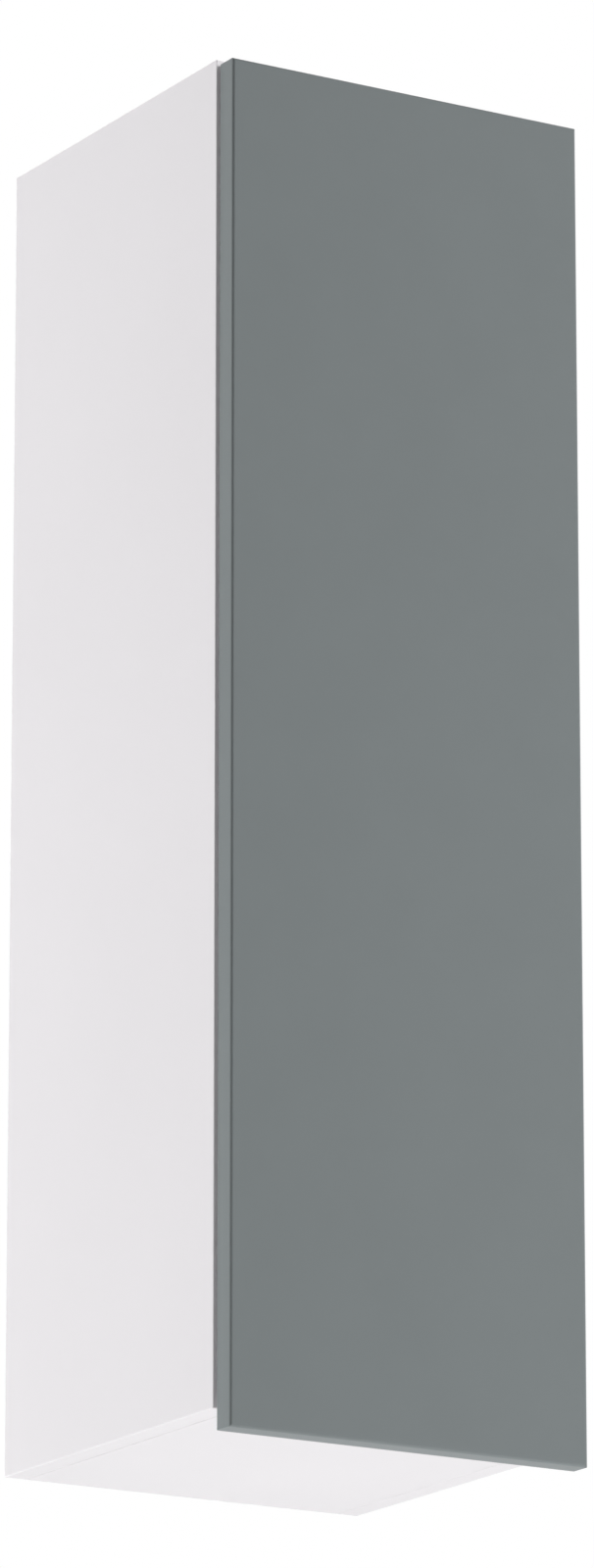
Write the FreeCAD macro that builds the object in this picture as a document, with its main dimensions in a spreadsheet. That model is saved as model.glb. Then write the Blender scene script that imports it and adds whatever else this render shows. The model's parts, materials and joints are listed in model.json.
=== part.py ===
import FreeCAD
import Part
import Sketcher
import math
import os
import re

# Kitchen wall cabinet, one door hinged on the right. Millimetres.
# Frame: x to the right, y to the wall, z up. The origin is on the wall plane,
# at the middle of the carcass and level with its underside.

# Driving dimensions
SIZES = {
    # carcass boards
    "carcass_width": 300,
    "carcass_height": 1000,
    "carcass_depth": 300,
    "board": 18,
    "edge_band": 1,
    "back_thick": 3,
    "back_setback": 18,
    "groove_depth": 8,
    "groove_play": 0.2,
    "back_edge_play": 1,
    # shelves and their pegs
    "shelf_lower": 327,
    "shelf_upper": 654,
    "shelf_setback": 20,
    "shelf_side_play": 1,
    "shelf_rear_play": 2,
    "row_front": 37,
    "row_rear": 60,
    "row_pitch": 32,
    "peg_radius": 2.5,
    "peg_depth": 9,
    "peg_reach": 8,
    "peg_collar_radius": 4,
    "peg_collar": 0.8,
    "peg_play": 0.05,
    "peg_end_play": 1,
    # cam fittings and dowels between the panels and the sides
    "cam_radius": 7.5,
    "cam_bore": 13,
    "cam_reach": 34,
    "cam_play": 0.05,
    "cam_front": 50,
    "cam_rear": 70,
    "bolt_radius": 3,
    "bolt_play": 0.5,
    "bolt_thread_radius": 2.5,
    "bolt_thread": 11,
    "bolt_neck_radius": 2,
    "bolt_neck": 5,
    "bolt_head": 3,
    "bolt_head_past": 2,
    "cap_radius": 8.5,
    "cap_rim": 0.6,
    "cap_plug": 1.4,
    "dowel_offset": 32,
    "dowel_radius": 4,
    "dowel_in_side": 12,
    "dowel_in_panel": 18,
    "dowel_play": 0.05,
    "dowel_end_play": 1,
    # door
    "door_gap": 2,
    "door_thick": 18,
    "door_reveal": 2,
    "door_drop": 16,
    "door_top_step": 4,
    "door_round": 2,
    "foil": 0.4,
    "bumper_radius": 4,
    "bumper_play": 0.3,
    "bumper_inset": 30,
    # hinge places; u runs from the right side's inner face into the cabinet,
    # v runs forward from the carcass front
    "hinge_from_end": 100,
    "arm_pin_u": 30,
    "arm_pin_v": -2.3,
    "cup_pin_u": -2,
    "cup_pin_v": 4.2,
    "guide_pin_u": 33.5,
    "guide_pin_v": -10.5,
    "lever_pin_u": -2,
    "lever_pin_v": 9.7,
    "lever_knee_u": 7,
    "lever_knee_v": 9.4,
    "pin_radius": 1.5,
    "thin_pin_radius": 1.25,
    "pin_play": 0.05,
    # hinge layers, measured from the hinge's middle plane
    "link_half": 3,
    "cheek_near": 3.3,
    "cheek_far": 4.5,
    "lever_near": 4.8,
    "lever_far": 6,
    # hinge links
    "link_half_width": 2.1,
    "lever_half_width": 1.7,
    "slot_travel": 4.9,
    "slot_half_width": 1.8,
    "slot_wall": 1.2,
    # hinge cup in the door
    "cup_radius": 17.5,
    "cup_play": 0.05,
    "cup_bore": 12.8,
    "cup_depth": 12.6,
    "cup_from_edge": 20.5,
    "cup_cavity": 11.4,
    "cup_cavity_half_length": 16,
    "cup_cavity_half_width": 6.6,
    "flange_thick": 1.2,
    "flange_rim": 1,
    "flange_half_height": 29,
    "flange_near": 3,
    "flange_far": 16,
    "cup_screw_rise": 22.5,
    "cup_screw_inward": 9.5,
    "lug_half_length": 4,
    "lug_top": 1.6,
    # hinge arm on its mounting plate
    "arm_seat": 7,
    "arm_thick": 7,
    "arm_web": 1.4,
    "arm_rear": 72,
    "arm_rise_start": 30,
    "arm_front_web": 20,
    "arm_boss": 2.5,
    "guide_boss": 2.6,
    "plate_setback": 37,
    "plate_wing_thick": 2.5,
    "plate_wing_half_width": 8,
    "plate_wing_half_height": 26,
    "plate_front": 26,
    "plate_screw_pitch": 32,
    "side_screw": 40,
    "lock_screw": 62,
    "set_screw_radius": 2,
    "set_screw_head_radius": 3,
    "set_screw_head": 2,
    "set_screw_play": 0.1,
    "set_screw_bite": 4,
    # wood screws
    "plate_screw_radius": 2.9,
    "plate_screw_bite": 12,
    "plate_screw_head_radius": 4.5,
    "plate_screw_head": 2,
    "cup_screw_radius": 1.75,
    "cup_screw_bite": 12,
    "cup_screw_head_radius": 3.5,
    "cup_screw_head": 0.5,
    "wood_screw_play": 0.05,
    # wall hangers; d runs from a side's inner face into the cabinet,
    # and forward distances start at the housing's rear
    "hanger_width": 22,
    "hanger_depth": 52,
    "hanger_height": 62,
    "hanger_wall": 2,
    "hanger_top_play": 2,
    "hanger_rear_play": 0.5,
    "hanger_flange": 14,
    "slider_play": 0.3,
    "slider_rear": 10,
    "slider_depth": 14,
    "slider_half_height": 12,
    "hook_middle": 9,
    "hook_thick": 4,
    "hook_play": 0.2,
    "hook_low": 2,
    "hook_high": 10,
    "hook_reach": 12,
    "hook_lip": 4,
    "hook_lip_drop": 8,
    "lug_front": 37,
    "lug_thick": 4,
    "lug_width": 9,
    "lug_low": 9,
    "depth_screw_radius": 2,
    "depth_screw_drop": 4,
    "depth_screw_tip": 12,
    "depth_screw_end": 49,
    "depth_screw_head": 3,
    "depth_screw_head_radius": 3.5,
    "height_screw_radius": 3,
    "height_screw_middle": 15,
    "height_screw_forward": 17,
    "height_screw_head": 3,
    "height_screw_head_radius": 4.5,
    "height_screw_top_play": 4,
    "screw_play": 0.05,
    "wall_hole_play": 0.2,
    "access_half_width": 4,
    "hook_travel": 8,
    "cover_thick": 1.6,
    "cover_lip": 12,
    "cutout_play": 2,
    "hanger_screw_radius": 1.75,
    "hanger_screw_head_radius": 3.5,
    "hanger_screw_head": 2,
    "hanger_screw_bite": 13,
    "hanger_screw_rise": 20,
}

SPARE_HOLES = 2

doc = FreeCAD.newDocument("wall_cabinet")
sheet = doc.addObject("Spreadsheet::Sheet", "sizes")
for row, (size_name, size_value) in enumerate(SIZES.items(), start=1):
    sheet.set(f"A{row}", size_name)
    sheet.set(f"B{row}", str(size_value))
    sheet.setAlias(f"B{row}", size_name)
doc.recompute()

# Places that many pieces share, as formulas of the sizes
INNER = "(carcass_width / 2 - board)"
FRONT = "(-carcass_depth)"
BOARD_FRONT = "(edge_band - carcass_depth)"
BACK_REAR = "(-back_setback)"
BACK_FRONT = "(-back_setback - back_thick)"
DOOR_BACK = "(-carcass_depth - door_gap)"
DOOR_HALF = "(carcass_width / 2 - door_reveal)"
DOOR_LOW = "(-door_drop)"
DOOR_HIGH = "(carcass_height - door_top_step)"
HINGE_LOWER = "(hinge_from_end - door_drop)"
HINGE_UPPER = "(carcass_height - door_top_step - hinge_from_end)"
CUP_U = "(door_reveal - board + cup_from_edge)"
HANGER_REAR = "(-back_setback - back_thick - hanger_rear_play)"
HANGER_TOP = "(carcass_height - board - hanger_top_play)"
HANGER_LOW = "(carcass_height - board - hanger_top_play - hanger_height)"
HANGER_MIDDLE = "(carcass_height - board - hanger_top_play - hanger_height / 2)"

TURNS = {
    "x": FreeCAD.Rotation(FreeCAD.Vector(0, 1, 0), 90),
    "y": FreeCAD.Rotation(FreeCAD.Vector(1, 0, 0), -90),
    "z": FreeCAD.Rotation(),
}

nodes = []


def formula(text):
    """The formula with each size name pointing at the sheet."""
    return re.sub(r"[a-z_]+", lambda m: "sizes." + m.group(0) if m.group(0) in SIZES else m.group(0),
                  text)


def bind(obj, prop, text):
    obj.setExpression(prop, formula(text))


def put(obj, x, y, z):
    """Bind an object's place to three formulas."""
    for axis, text in (("x", x), ("y", y), ("z", z)):
        bind(obj, "Placement.Base." + axis, text)


def box(name, x, y, z):
    """A block between two formulas (low, high) along each axis."""
    block = doc.addObject("Part::Box", name)
    for prop, (low, high) in (("Length", x), ("Width", y), ("Height", z)):
        bind(block, prop, f"({high}) - ({low})")
    put(block, x[0], y[0], z[0])
    return block


def rod(name, radius, axis, start, end, across):
    """A round bar along x, y or z from start to end; across holds the other two places in order."""
    bar = doc.addObject("Part::Cylinder", name)
    bind(bar, "Radius", radius)
    bind(bar, "Height", f"({end}) - ({start})")
    place = list(across)
    place.insert("xyz".index(axis), start)
    bar.Placement = FreeCAD.Placement(FreeCAD.Vector(), TURNS[axis])
    put(bar, *place)
    return bar


def group(name, members):
    gathered = doc.addObject("Part::Compound", name)
    gathered.Links = members
    return gathered


def fuse(name, members):
    joined = doc.addObject("Part::MultiFuse", name)
    joined.Shapes = members
    return joined


def cut(name, base, tools):
    pared = doc.addObject("Part::Cut", name)
    pared.Base = base
    pared.Tool = tools[0] if len(tools) == 1 else group(name + "_tools", tools)
    return pared


def mirrored(name, source):
    """The same piece on the other side of the cabinet's middle plane."""
    twin = doc.addObject("Part::Mirroring", name)
    twin.Source = source
    twin.Normal = FreeCAD.Vector(1, 0, 0)
    return twin


def copy(name, source, x="0", y="0", z="0", turn="z", flip=False):
    """A linked copy of a piece, moved and, for fasteners, turned from z to another axis."""
    link = doc.addObject("App::Link", name)
    link.LinkedObject = source
    link.LinkTransform = True
    rotation = TURNS[turn]
    if flip:
        rotation = rotation.multiply(FreeCAD.Rotation(FreeCAD.Vector(1, 0, 0), 180))
    link.Placement = FreeCAD.Placement(FreeCAD.Vector(), rotation)
    put(link, x, y, z)
    return link


def node(name, members):
    """A finished sub-part; its label names its file."""
    piece = members[0] if len(members) == 1 else group(name + "_group", members)
    piece.Label = name
    nodes.append(piece)
    return piece


def outline(body, name, plane, points, offset):
    """A closed polygon sketch on one of the body's own planes, each corner bound to two formulas."""
    sketch = body.newObject("Sketcher::SketchObject", name)
    support = [feature for feature in body.Origin.OriginFeatures if feature.Role == plane][0]
    sketch.AttachmentSupport = [(support, "")]
    sketch.MapMode = "FlatFace"
    bind(sketch, "AttachmentOffset.Base.z", offset)
    count = len(points)
    start = [FreeCAD.Vector(math.cos(math.tau * i / count), math.sin(math.tau * i / count), 0)
             for i in range(count)]
    for i in range(count):
        sketch.addGeometry(Part.LineSegment(start[i], start[(i + 1) % count]), False)
    for i in range(count):
        sketch.addConstraint(Sketcher.Constraint("Coincident", i, 2, (i + 1) % count, 1))
    for i, corner in enumerate(points):
        for kind, text, first in zip(("DistanceX", "DistanceY"), corner, (start[i].x, start[i].y)):
            index = sketch.addConstraint(Sketcher.Constraint(kind, -1, 1, i, 1, first))
            bind(sketch, f"Constraints[{index}]", text)
    return sketch


def slab(name, plane, points, low, high):
    """A polygon padded between two offsets along the plane's normal."""
    body = doc.addObject("PartDesign::Body", name)
    sketch = outline(body, name + "_outline", plane, points, low)
    pad = body.newObject("PartDesign::Pad", name + "_pad")
    pad.Profile = sketch
    bind(pad, "Length", f"({high}) - ({low})")
    return body, pad


def side_x(near, far):
    """The x span at the right side: distances from its inner face, positive into the cabinet."""
    return (f"{INNER} - ({far})", f"{INNER} - ({near})")


def plan(u, v):
    """The x and y of a hinge point given as u and v."""
    return (f"{INNER} - ({u})", f"{FRONT} - ({v})")


# Carcass

def back_groove():
    return (f"{BACK_FRONT} - groove_play", BACK_REAR)


def row_places():
    """The y places of the front and rear rows of fittings in a side."""
    return (f"{FRONT} + row_front", f"{BACK_FRONT} - row_rear")


def cam_places():
    return (f"{FRONT} + cam_front", f"{BACK_FRONT} - cam_rear")


def dowel_places():
    return (f"{FRONT} + cam_front + dowel_offset", f"{BACK_FRONT} - cam_rear - dowel_offset")


CAM_THICK = "(cam_bore - cap_plug)"
PANEL_MIDDLES = {"bottom": "board / 2", "top": "carcass_height - board / 2"}


def side_bores():
    """What both sides are cut for: back groove, peg rows, bolts, dowels and hanger screws."""
    cuts = [box("side_groove", side_x("-groove_depth", "0"), back_groove(),
                ("board - groove_depth", "carcass_height - board + groove_depth"))]
    for shelf, height in (("lower", "shelf_lower"), ("upper", "shelf_upper")):
        for place, y in zip(("front", "rear"), row_places()):
            for step in range(-SPARE_HOLES, SPARE_HOLES + 1):
                z = f"{height} - peg_radius + {step} * row_pitch"
                cuts.append(rod(f"peg_hole_{shelf}_{place}_{step + SPARE_HOLES}", "peg_radius + peg_play",
                                "x", INNER,
                                f"{INNER} + peg_depth + peg_end_play", (y, z)))
    for level, z in PANEL_MIDDLES.items():
        for place, y in zip(("front", "rear"), cam_places()):
            cuts.append(rod(f"bolt_hole_{level}_{place}", "bolt_thread_radius + cam_play", "x", INNER,
                            f"{INNER} + bolt_thread + peg_end_play", (y, z)))
        for place, y in zip(("front", "rear"), dowel_places()):
            cuts.append(rod(f"dowel_hole_{level}_{place}", "dowel_radius + dowel_play", "x", INNER,
                            f"{INNER} + dowel_in_side + dowel_end_play", (y, z)))
    for sign in ("-", "+"):
        cuts.append(rod("hanger_pilot", "hanger_screw_radius + wood_screw_play", "x", INNER,
                        f"{INNER} + hanger_screw_bite",
                        (HANGER_SCREW_Y, f"{HANGER_MIDDLE} {sign} hanger_screw_rise")))
    return group("side_bores", cuts)


HANGER_SCREW_Y = f"{HANGER_REAR} - hanger_depth - hanger_flange / 2"


def plate_pilots():
    """Pilot holes of the two hinge plates, in the right side only."""
    pilots = []
    for level, z in (("lower", HINGE_LOWER), ("upper", HINGE_UPPER)):
        for sign in ("-", "+"):
            pilots.append(rod(f"plate_pilot_{level}", "plate_screw_radius + wood_screw_play", "x", INNER,
                              f"{INNER} + plate_screw_bite",
                              (f"{FRONT} + plate_setback", f"{z} {sign} plate_screw_pitch / 2")))
    return pilots


def make_sides():
    board_x = side_x("-board", "0")
    blank = box("side_blank", board_x, (BOARD_FRONT, "0"), ("edge_band", "carcass_height"))
    bores = side_bores()
    bored = cut("side_bored", blank, [bores])
    node("side_panel_right", [cut("right_side", bored, plate_pilots())])
    node("side_panel_left", [mirrored("left_side", bored)])
    front = box("side_front_band", board_x, (FRONT, BOARD_FRONT), ("0", "carcass_height"))
    under = box("side_under_band", board_x, (BOARD_FRONT, "0"), ("0", "edge_band"))
    node("side_front_bands", [front, mirrored("side_front_band_left", front)])
    node("side_under_bands", [under, mirrored("side_under_band_left", under)])


def panel_bores(level, face, depth_sign):
    """Cam bores from the panel's inner face, bolt and dowel holes in its end; the right half."""
    middle = PANEL_MIDDLES[level]
    low, high = (f"{face} - cam_bore", face) if depth_sign < 0 else (face, f"{face} + cam_bore")
    cuts = []
    for place, y in zip(("front", "rear"), cam_places()):
        cuts.append(rod(f"{level}_cam_bore_{place}", "cam_radius", "z", low, high,
                        (f"{INNER} - cam_reach", y)))
        cuts.append(rod(f"{level}_bolt_bore_{place}", "bolt_radius + bolt_play", "x",
                        f"{INNER} - cam_reach", INNER,
                        (y, middle)))
    for place, y in zip(("front", "rear"), dowel_places()):
        cuts.append(rod(f"{level}_dowel_bore_{place}", "dowel_radius + dowel_play", "x",
                        f"{INNER} - dowel_in_panel - dowel_end_play", INNER, (y, middle)))
    bores = fuse(f"{level}_bores", cuts)
    return [bores, mirrored(f"{level}_bores_left", bores)]


def make_panels():
    """Bottom and top panel between the sides, grooved for the back."""
    span = (f"-{INNER}", INNER)
    for level, low, face, sign in (("bottom", "0", "board", -1), ("top", "carcass_height - board",
                                                                 "carcass_height - board", 1)):
        blank = box(f"{level}_blank", span, (BOARD_FRONT, "0"), (low, f"{low} + board"))
        depth = ("board - groove_depth", "board") if sign < 0 else (low, f"{low} + groove_depth")
        groove = box(f"{level}_groove", span, back_groove(), depth)
        node(f"{level}_panel", [cut(f"{level}_board", blank, [groove] + panel_bores(level, face, sign))])
    bands = [box(f"{level}_front_band", span, (FRONT, BOARD_FRONT), (low, f"{low} + board"))
             for level, low in (("bottom", "0"), ("top", "carcass_height - board"))]
    node("panel_front_bands", bands)


def make_back():
    """Back panel in the grooves, with an opening behind each hanger for its hook."""
    reach = f"{INNER} + groove_depth - back_edge_play"
    low = "board - groove_depth + back_edge_play"
    blank = box("back_blank", (f"-({reach})", reach), (BACK_FRONT, BACK_REAR),
                (low, f"carcass_height - ({low})"))
    opening = box("hook_opening", side_x("hanger_wall", "hanger_width - hanger_wall"),
                  (BACK_FRONT, BACK_REAR),
                  (f"{HANGER_MIDDLE} - hook_lip_drop - hook_travel - cutout_play",
                   f"{HANGER_MIDDLE} + hook_high + hook_travel + cutout_play"))
    node("back_panel", [cut("back_board", blank, [opening, mirrored("hook_opening_left", opening)])])


def make_shelves():
    half = f"{INNER} - shelf_side_play"
    front = f"{FRONT} + shelf_setback"
    bands = []
    for name, height in (("lower", "shelf_lower"), ("upper", "shelf_upper")):
        thick = (height, f"{height} + board")
        shelf = box(f"{name}_shelf_board", (f"-({half})", half),
                    (f"{front} + edge_band", f"{BACK_FRONT} - shelf_rear_play"),
                    thick)
        node(f"shelf_{name}", [shelf])
        bands.append(box(f"{name}_shelf_band", (f"-({half})", half), (front, f"{front} + edge_band"),
                         thick))
    node("shelf_front_bands", bands)


def make_pegs():
    """Shelf pegs: a shank in the side, a thin collar on its face and a short arm under the shelf."""
    shank = rod("peg_shank", "peg_radius", "z", "-peg_reach", "peg_depth", ("0", "0"))
    collar = rod("peg_disc", "peg_collar_radius", "z", "-peg_collar", "0", ("0", "0"))
    peg = fuse("peg", [shank, collar])
    right = []
    for shelf, height in (("lower", "shelf_lower"), ("upper", "shelf_upper")):
        for place, y in zip(("front", "rear"), row_places()):
            right.append(copy(f"peg_{shelf}_{place}", peg, INNER, y, f"{height} - peg_radius", "x"))
    pegs = group("pegs_right", right)
    node("shelf_pegs", [pegs, mirrored("pegs_left", pegs)])


def make_fittings():
    """Cams, cam bolts, cam caps and dowels that draw the panels against the sides."""
    bolt = fuse("cam_bolt", [
        rod("bolt_thread_part", "bolt_thread_radius", "z", "0", "bolt_thread", ("0", "0")),
        rod("bolt_shank", "bolt_radius", "z", "bolt_head + bolt_neck - cam_reach - bolt_head_past", "0",
            ("0", "0")),
        rod("bolt_neck_part", "bolt_neck_radius", "z", "-cam_reach - bolt_head_past", "0", ("0", "0")),
        rod("bolt_head_part", "bolt_radius", "z", "-cam_reach - bolt_head_past",
            "bolt_head - cam_reach - bolt_head_past", ("0", "0")),
    ])
    cam_disc = rod("cam_disc", "cam_radius - cam_play", "z", f"-{CAM_THICK} / 2", f"{CAM_THICK} / 2",
                   ("0", "0"))
    cam_lift = f"cam_bore - {CAM_THICK} / 2"
    cap = fuse("cam_cap", [
        rod("cap_disc", "cap_radius", "z", "0", "cap_rim", ("0", "0")),
        rod("cap_stem", "cam_radius - cam_play", "z", "-cap_plug", "0", ("0", "0")),
    ])
    dowel = rod("dowel", "dowel_radius", "z", "-dowel_in_panel", "dowel_in_side", ("0", "0"))
    bolts = []
    cams = []
    caps = []
    dowels = []
    for level, face, sign in (("bottom", "board", "-"), ("top", "carcass_height - board", "+")):
        flip = sign == "+"
        bolt_z = f"board / 2 - ({cam_lift})" if flip else f"{cam_lift} - board / 2"
        hollow = rod(f"cam_hollow_{level}", "bolt_radius + bolt_play", "x",
                     "-bolt_radius - bolt_head_past",
                     "cam_radius + cam_play", ("0", bolt_z))
        cam = cut(f"cam_{level}", cam_disc, [hollow])
        for place, y in zip(("front", "rear"), cam_places()):
            bolts.append(copy(f"bolt_{level}_{place}", bolt, INNER, y, PANEL_MIDDLES[level], "x"))
            cams.append(copy(f"cam_{level}_{place}", cam, f"{INNER} - cam_reach", y,
                             f"{face} {sign} ({cam_lift})"))
            caps.append(copy(f"cap_{level}_{place}", cap, f"{INNER} - cam_reach", y, face, "z", flip))
        for place, y in zip(("front", "rear"), dowel_places()):
            dowels.append(copy(f"dowel_{level}_{place}", dowel, INNER, y, PANEL_MIDDLES[level], "x"))
    for name, members in (("cam_bolts", bolts), ("cam_housings", cams), ("cam_caps", caps),
                          ("wood_dowels", dowels)):
        right = group(f"{name}_right", members)
        node(name, [right, mirrored(f"{name}_left", right)])


# Door

def door_blank(name, inset, thick, radius):
    """A slab whose front edges are rounded, drawn on the door's back and padded forward."""
    half = f"{DOOR_HALF} - ({inset})"
    low = f"{DOOR_LOW} + ({inset})"
    high = f"{DOOR_HIGH} - ({inset})"
    corners = [(f"-({half})", low), (half, low), (half, high), (f"-({half})", high)]
    back = f"-{DOOR_BACK}"
    body, pad = slab(name, "XZ_Plane", corners, back, f"{back} + ({thick})")
    doc.recompute()
    front = pad.Shape.BoundBox.YMin
    edges = [f"Edge{i}" for i, edge in enumerate(pad.Shape.Edges, start=1)
             if max(abs(vertex.Y - front) for vertex in edge.Vertexes) < Part.Precision.confusion()]
    fillet = body.newObject("PartDesign::Fillet", name + "_rounding")
    fillet.Base = (pad, edges)
    bind(fillet, "Radius", radius)
    return body


def hinge_heights():
    return (("lower", HINGE_LOWER), ("upper", HINGE_UPPER))


def make_door():
    """Board core, a foil wrapped over its front and edges, and two soft stops on its back."""
    core = door_blank("door_core_blank", "foil", "door_thick - foil", "door_round - foil")
    skin = door_blank("door_skin_blank", "0", "door_thick", "door_round")
    bores = []
    cup_x, _ = plan(CUP_U, "0")
    screw_x, _ = plan(f"{CUP_U} + cup_screw_inward", "0")
    for level, z in hinge_heights():
        bores.append(rod(f"cup_bore_{level}", "cup_radius + cup_play", "y", f"{DOOR_BACK} - cup_bore",
                         DOOR_BACK,
                         (cup_x, z)))
        for sign in ("-", "+"):
            bores.append(rod(f"cup_pilot_{level}", "cup_screw_radius + wood_screw_play", "y",
                             f"{DOOR_BACK} - cup_screw_bite", DOOR_BACK,
                             (screw_x, f"{z} {sign} cup_screw_rise")))
    node("door_core", [cut("door_board", core, bores)])
    node("door_foil", [cut("door_skin", skin, [core])])
    stops = []
    for level, z in (("low", "bumper_inset"), ("high", f"{DOOR_HIGH} - bumper_inset")):
        stops.append(rod(f"bumper_{level}", "bumper_radius", "y", DOOR_BACK,
                         f"{DOOR_BACK} + door_gap - bumper_play",
                         ("board / 2 - carcass_width / 2", z)))
    node("door_bumpers", stops)


# Hinges: every piece is made at z = 0 and copied to both heights

def both_heights(name, source):
    """The same hinge piece in the lower and the upper hinge, each its own node."""
    for level, z in hinge_heights():
        node(f"hinge_{level}_{name}",
             [group(f"{name}_{level}_seat", [copy(f"{name}_{level}", source, z=z)])])


def at_both_heights(name, sources):
    """One node that holds the same pieces of both hinges."""
    members = [copy(f"{name}_{level}_{i}", source, z=z)
               for level, z in hinge_heights()
               for i, source in enumerate(sources)]
    node(name, members)


def both_faces(low, high):
    """A layer above the hinge's middle plane and the same layer below it."""
    return ((low, high), (f"-({high})", f"-({low})"))


def cross_pin(name, radius, u, v, half):
    return rod(name, radius, "z", f"-({half})", half, plan(u, v))


def bar(name, start, end, half_width, low, high):
    """A straight bar in plan between two hinge points, as a turned block."""
    block = doc.addObject("Part::Box", name)
    (u, v), (far_u, far_v) = start, end
    run_x = f"(({u}) - ({far_u}))"
    run_y = f"(({v}) - ({far_v}))"
    length = f"sqrt({run_x} * {run_x} + {run_y} * {run_y})"
    bind(block, "Length", length)
    bind(block, "Width", f"2 * ({half_width})")
    bind(block, "Height", f"({high}) - ({low})")
    x, y = plan(u, v)
    put(block, f"{x} + ({half_width}) * {run_y} / {length}", f"{y} - ({half_width}) * {run_x} / {length}",
        low)
    bind(block, "Placement.Rotation.Angle", f"atan2({run_y}; {run_x})")
    return block


ARM_PIN = ("arm_pin_u", "arm_pin_v")
CUP_PIN = ("cup_pin_u", "cup_pin_v")
GUIDE_PIN = ("guide_pin_u", "guide_pin_v")
LEVER_PIN = ("lever_pin_u", "lever_pin_v")
KNEE = ("lever_knee_u", "lever_knee_v")


def make_cup():
    """Pot with a flange on the door's back, a slot-shaped hollow and two lugs that carry its pins."""
    cup_x, back = plan(CUP_U, "door_gap")
    pot = rod("pot", "cup_radius", "y", f"{back} - cup_depth", back, (cup_x, "0"))
    ring = rod("pot_ring", "cup_radius + flange_rim", "y", back, f"{back} + flange_thick", (cup_x, "0"))
    ear_x = (f"{cup_x} - flange_far", f"{cup_x} - flange_near")
    ears = box("pot_ears", ear_x, (back, f"{back} + flange_thick"),
               ("-flange_half_height", "flange_half_height"))
    shell = fuse("pot_shell", [pot, ring, ears])
    floor = f"{back} - cup_cavity"
    hollow = box("pot_hollow", (f"{cup_x} - cup_cavity_half_length", f"{cup_x} + cup_cavity_half_length"),
                 (floor, f"{back} + flange_thick"), ("-cup_cavity_half_width", "cup_cavity_half_width"))
    mouth = box("pot_mouth", (f"{cup_x} - cup_radius - flange_rim", f"{cup_x} + cup_radius + flange_rim"),
                (back, f"{back} + flange_thick"), ("-cup_cavity_half_width", "cup_cavity_half_width"))
    screw_x = f"{cup_x} - cup_screw_inward"
    holes = [rod("ear_hole", "cup_screw_radius + wood_screw_play", "y", back, f"{back} + flange_thick",
                 (screw_x, f"{sign}cup_screw_rise")) for sign in ("-", "")]
    hollowed = cut("pot_hollowed", shell, [fuse("pot_cuts", [hollow, mouth])] + holes)
    lugs = []
    for low, high in both_faces("cheek_near", "cheek_far"):
        lug_x, top = plan("(cup_pin_u + lever_pin_u) / 2", "lug_top")
        lugs.append(box("pot_lug", (f"{lug_x} - lug_half_length", f"{lug_x} + lug_half_length"),
                        (floor, top), (low, high)))
    with_lugs = fuse("pot_with_lugs", [hollowed] + lugs)
    pins = [cross_pin("cup_pin_seat", "pin_radius", *CUP_PIN, "cheek_far"),
            cross_pin("lever_pin_seat", "thin_pin_radius", *LEVER_PIN, "cheek_far")]
    both_heights("cup", cut("hinge_cup", with_lugs, pins))
    screw = fuse("cup_screw", [
        rod("cup_screw_shank", "cup_screw_radius", "z", "-cup_screw_bite", "flange_thick", ("0", "0")),
        rod("cup_screw_top", "cup_screw_head_radius", "z", "flange_thick",
            "flange_thick + cup_screw_head", ("0", "0")),
    ])
    at_both_heights("cup_screws",
                    [copy("cup_screw_at", screw, screw_x, back, f"{sign}cup_screw_rise", "y")
                                   for sign in ("-", "")])


def make_pins():
    """Cross pins: two in the arm and two in the cup of each hinge."""
    at_both_heights("hinge_arm_pins", [cross_pin("arm_pin", "pin_radius", *ARM_PIN, "cheek_far"),
                                       cross_pin("guide_pin", "thin_pin_radius", *GUIDE_PIN,
                                                 "lever_far")])
    at_both_heights("hinge_cup_pins", [cross_pin("cup_pin", "pin_radius", *CUP_PIN, "cheek_far"),
                                       cross_pin("lever_pin", "thin_pin_radius", *LEVER_PIN,
                                                 "lever_far")])


def make_outer_link():
    """The carrying link: a bar with round ends between the arm pin and the cup pin."""
    span = ("-link_half", "link_half")
    ends = [rod("link_end", "link_half_width", "z", *span, plan(*place)) for place in (ARM_PIN, CUP_PIN)]
    solid = fuse("link_solid", [bar("link_bar", ARM_PIN, CUP_PIN, "link_half_width", *span)] + ends)
    holes = [rod("link_hole", "pin_radius + pin_play", "z", *span, plan(*place))
             for place in (ARM_PIN, CUP_PIN)]
    both_heights("outer_link", cut("outer_link", solid, holes))


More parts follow.
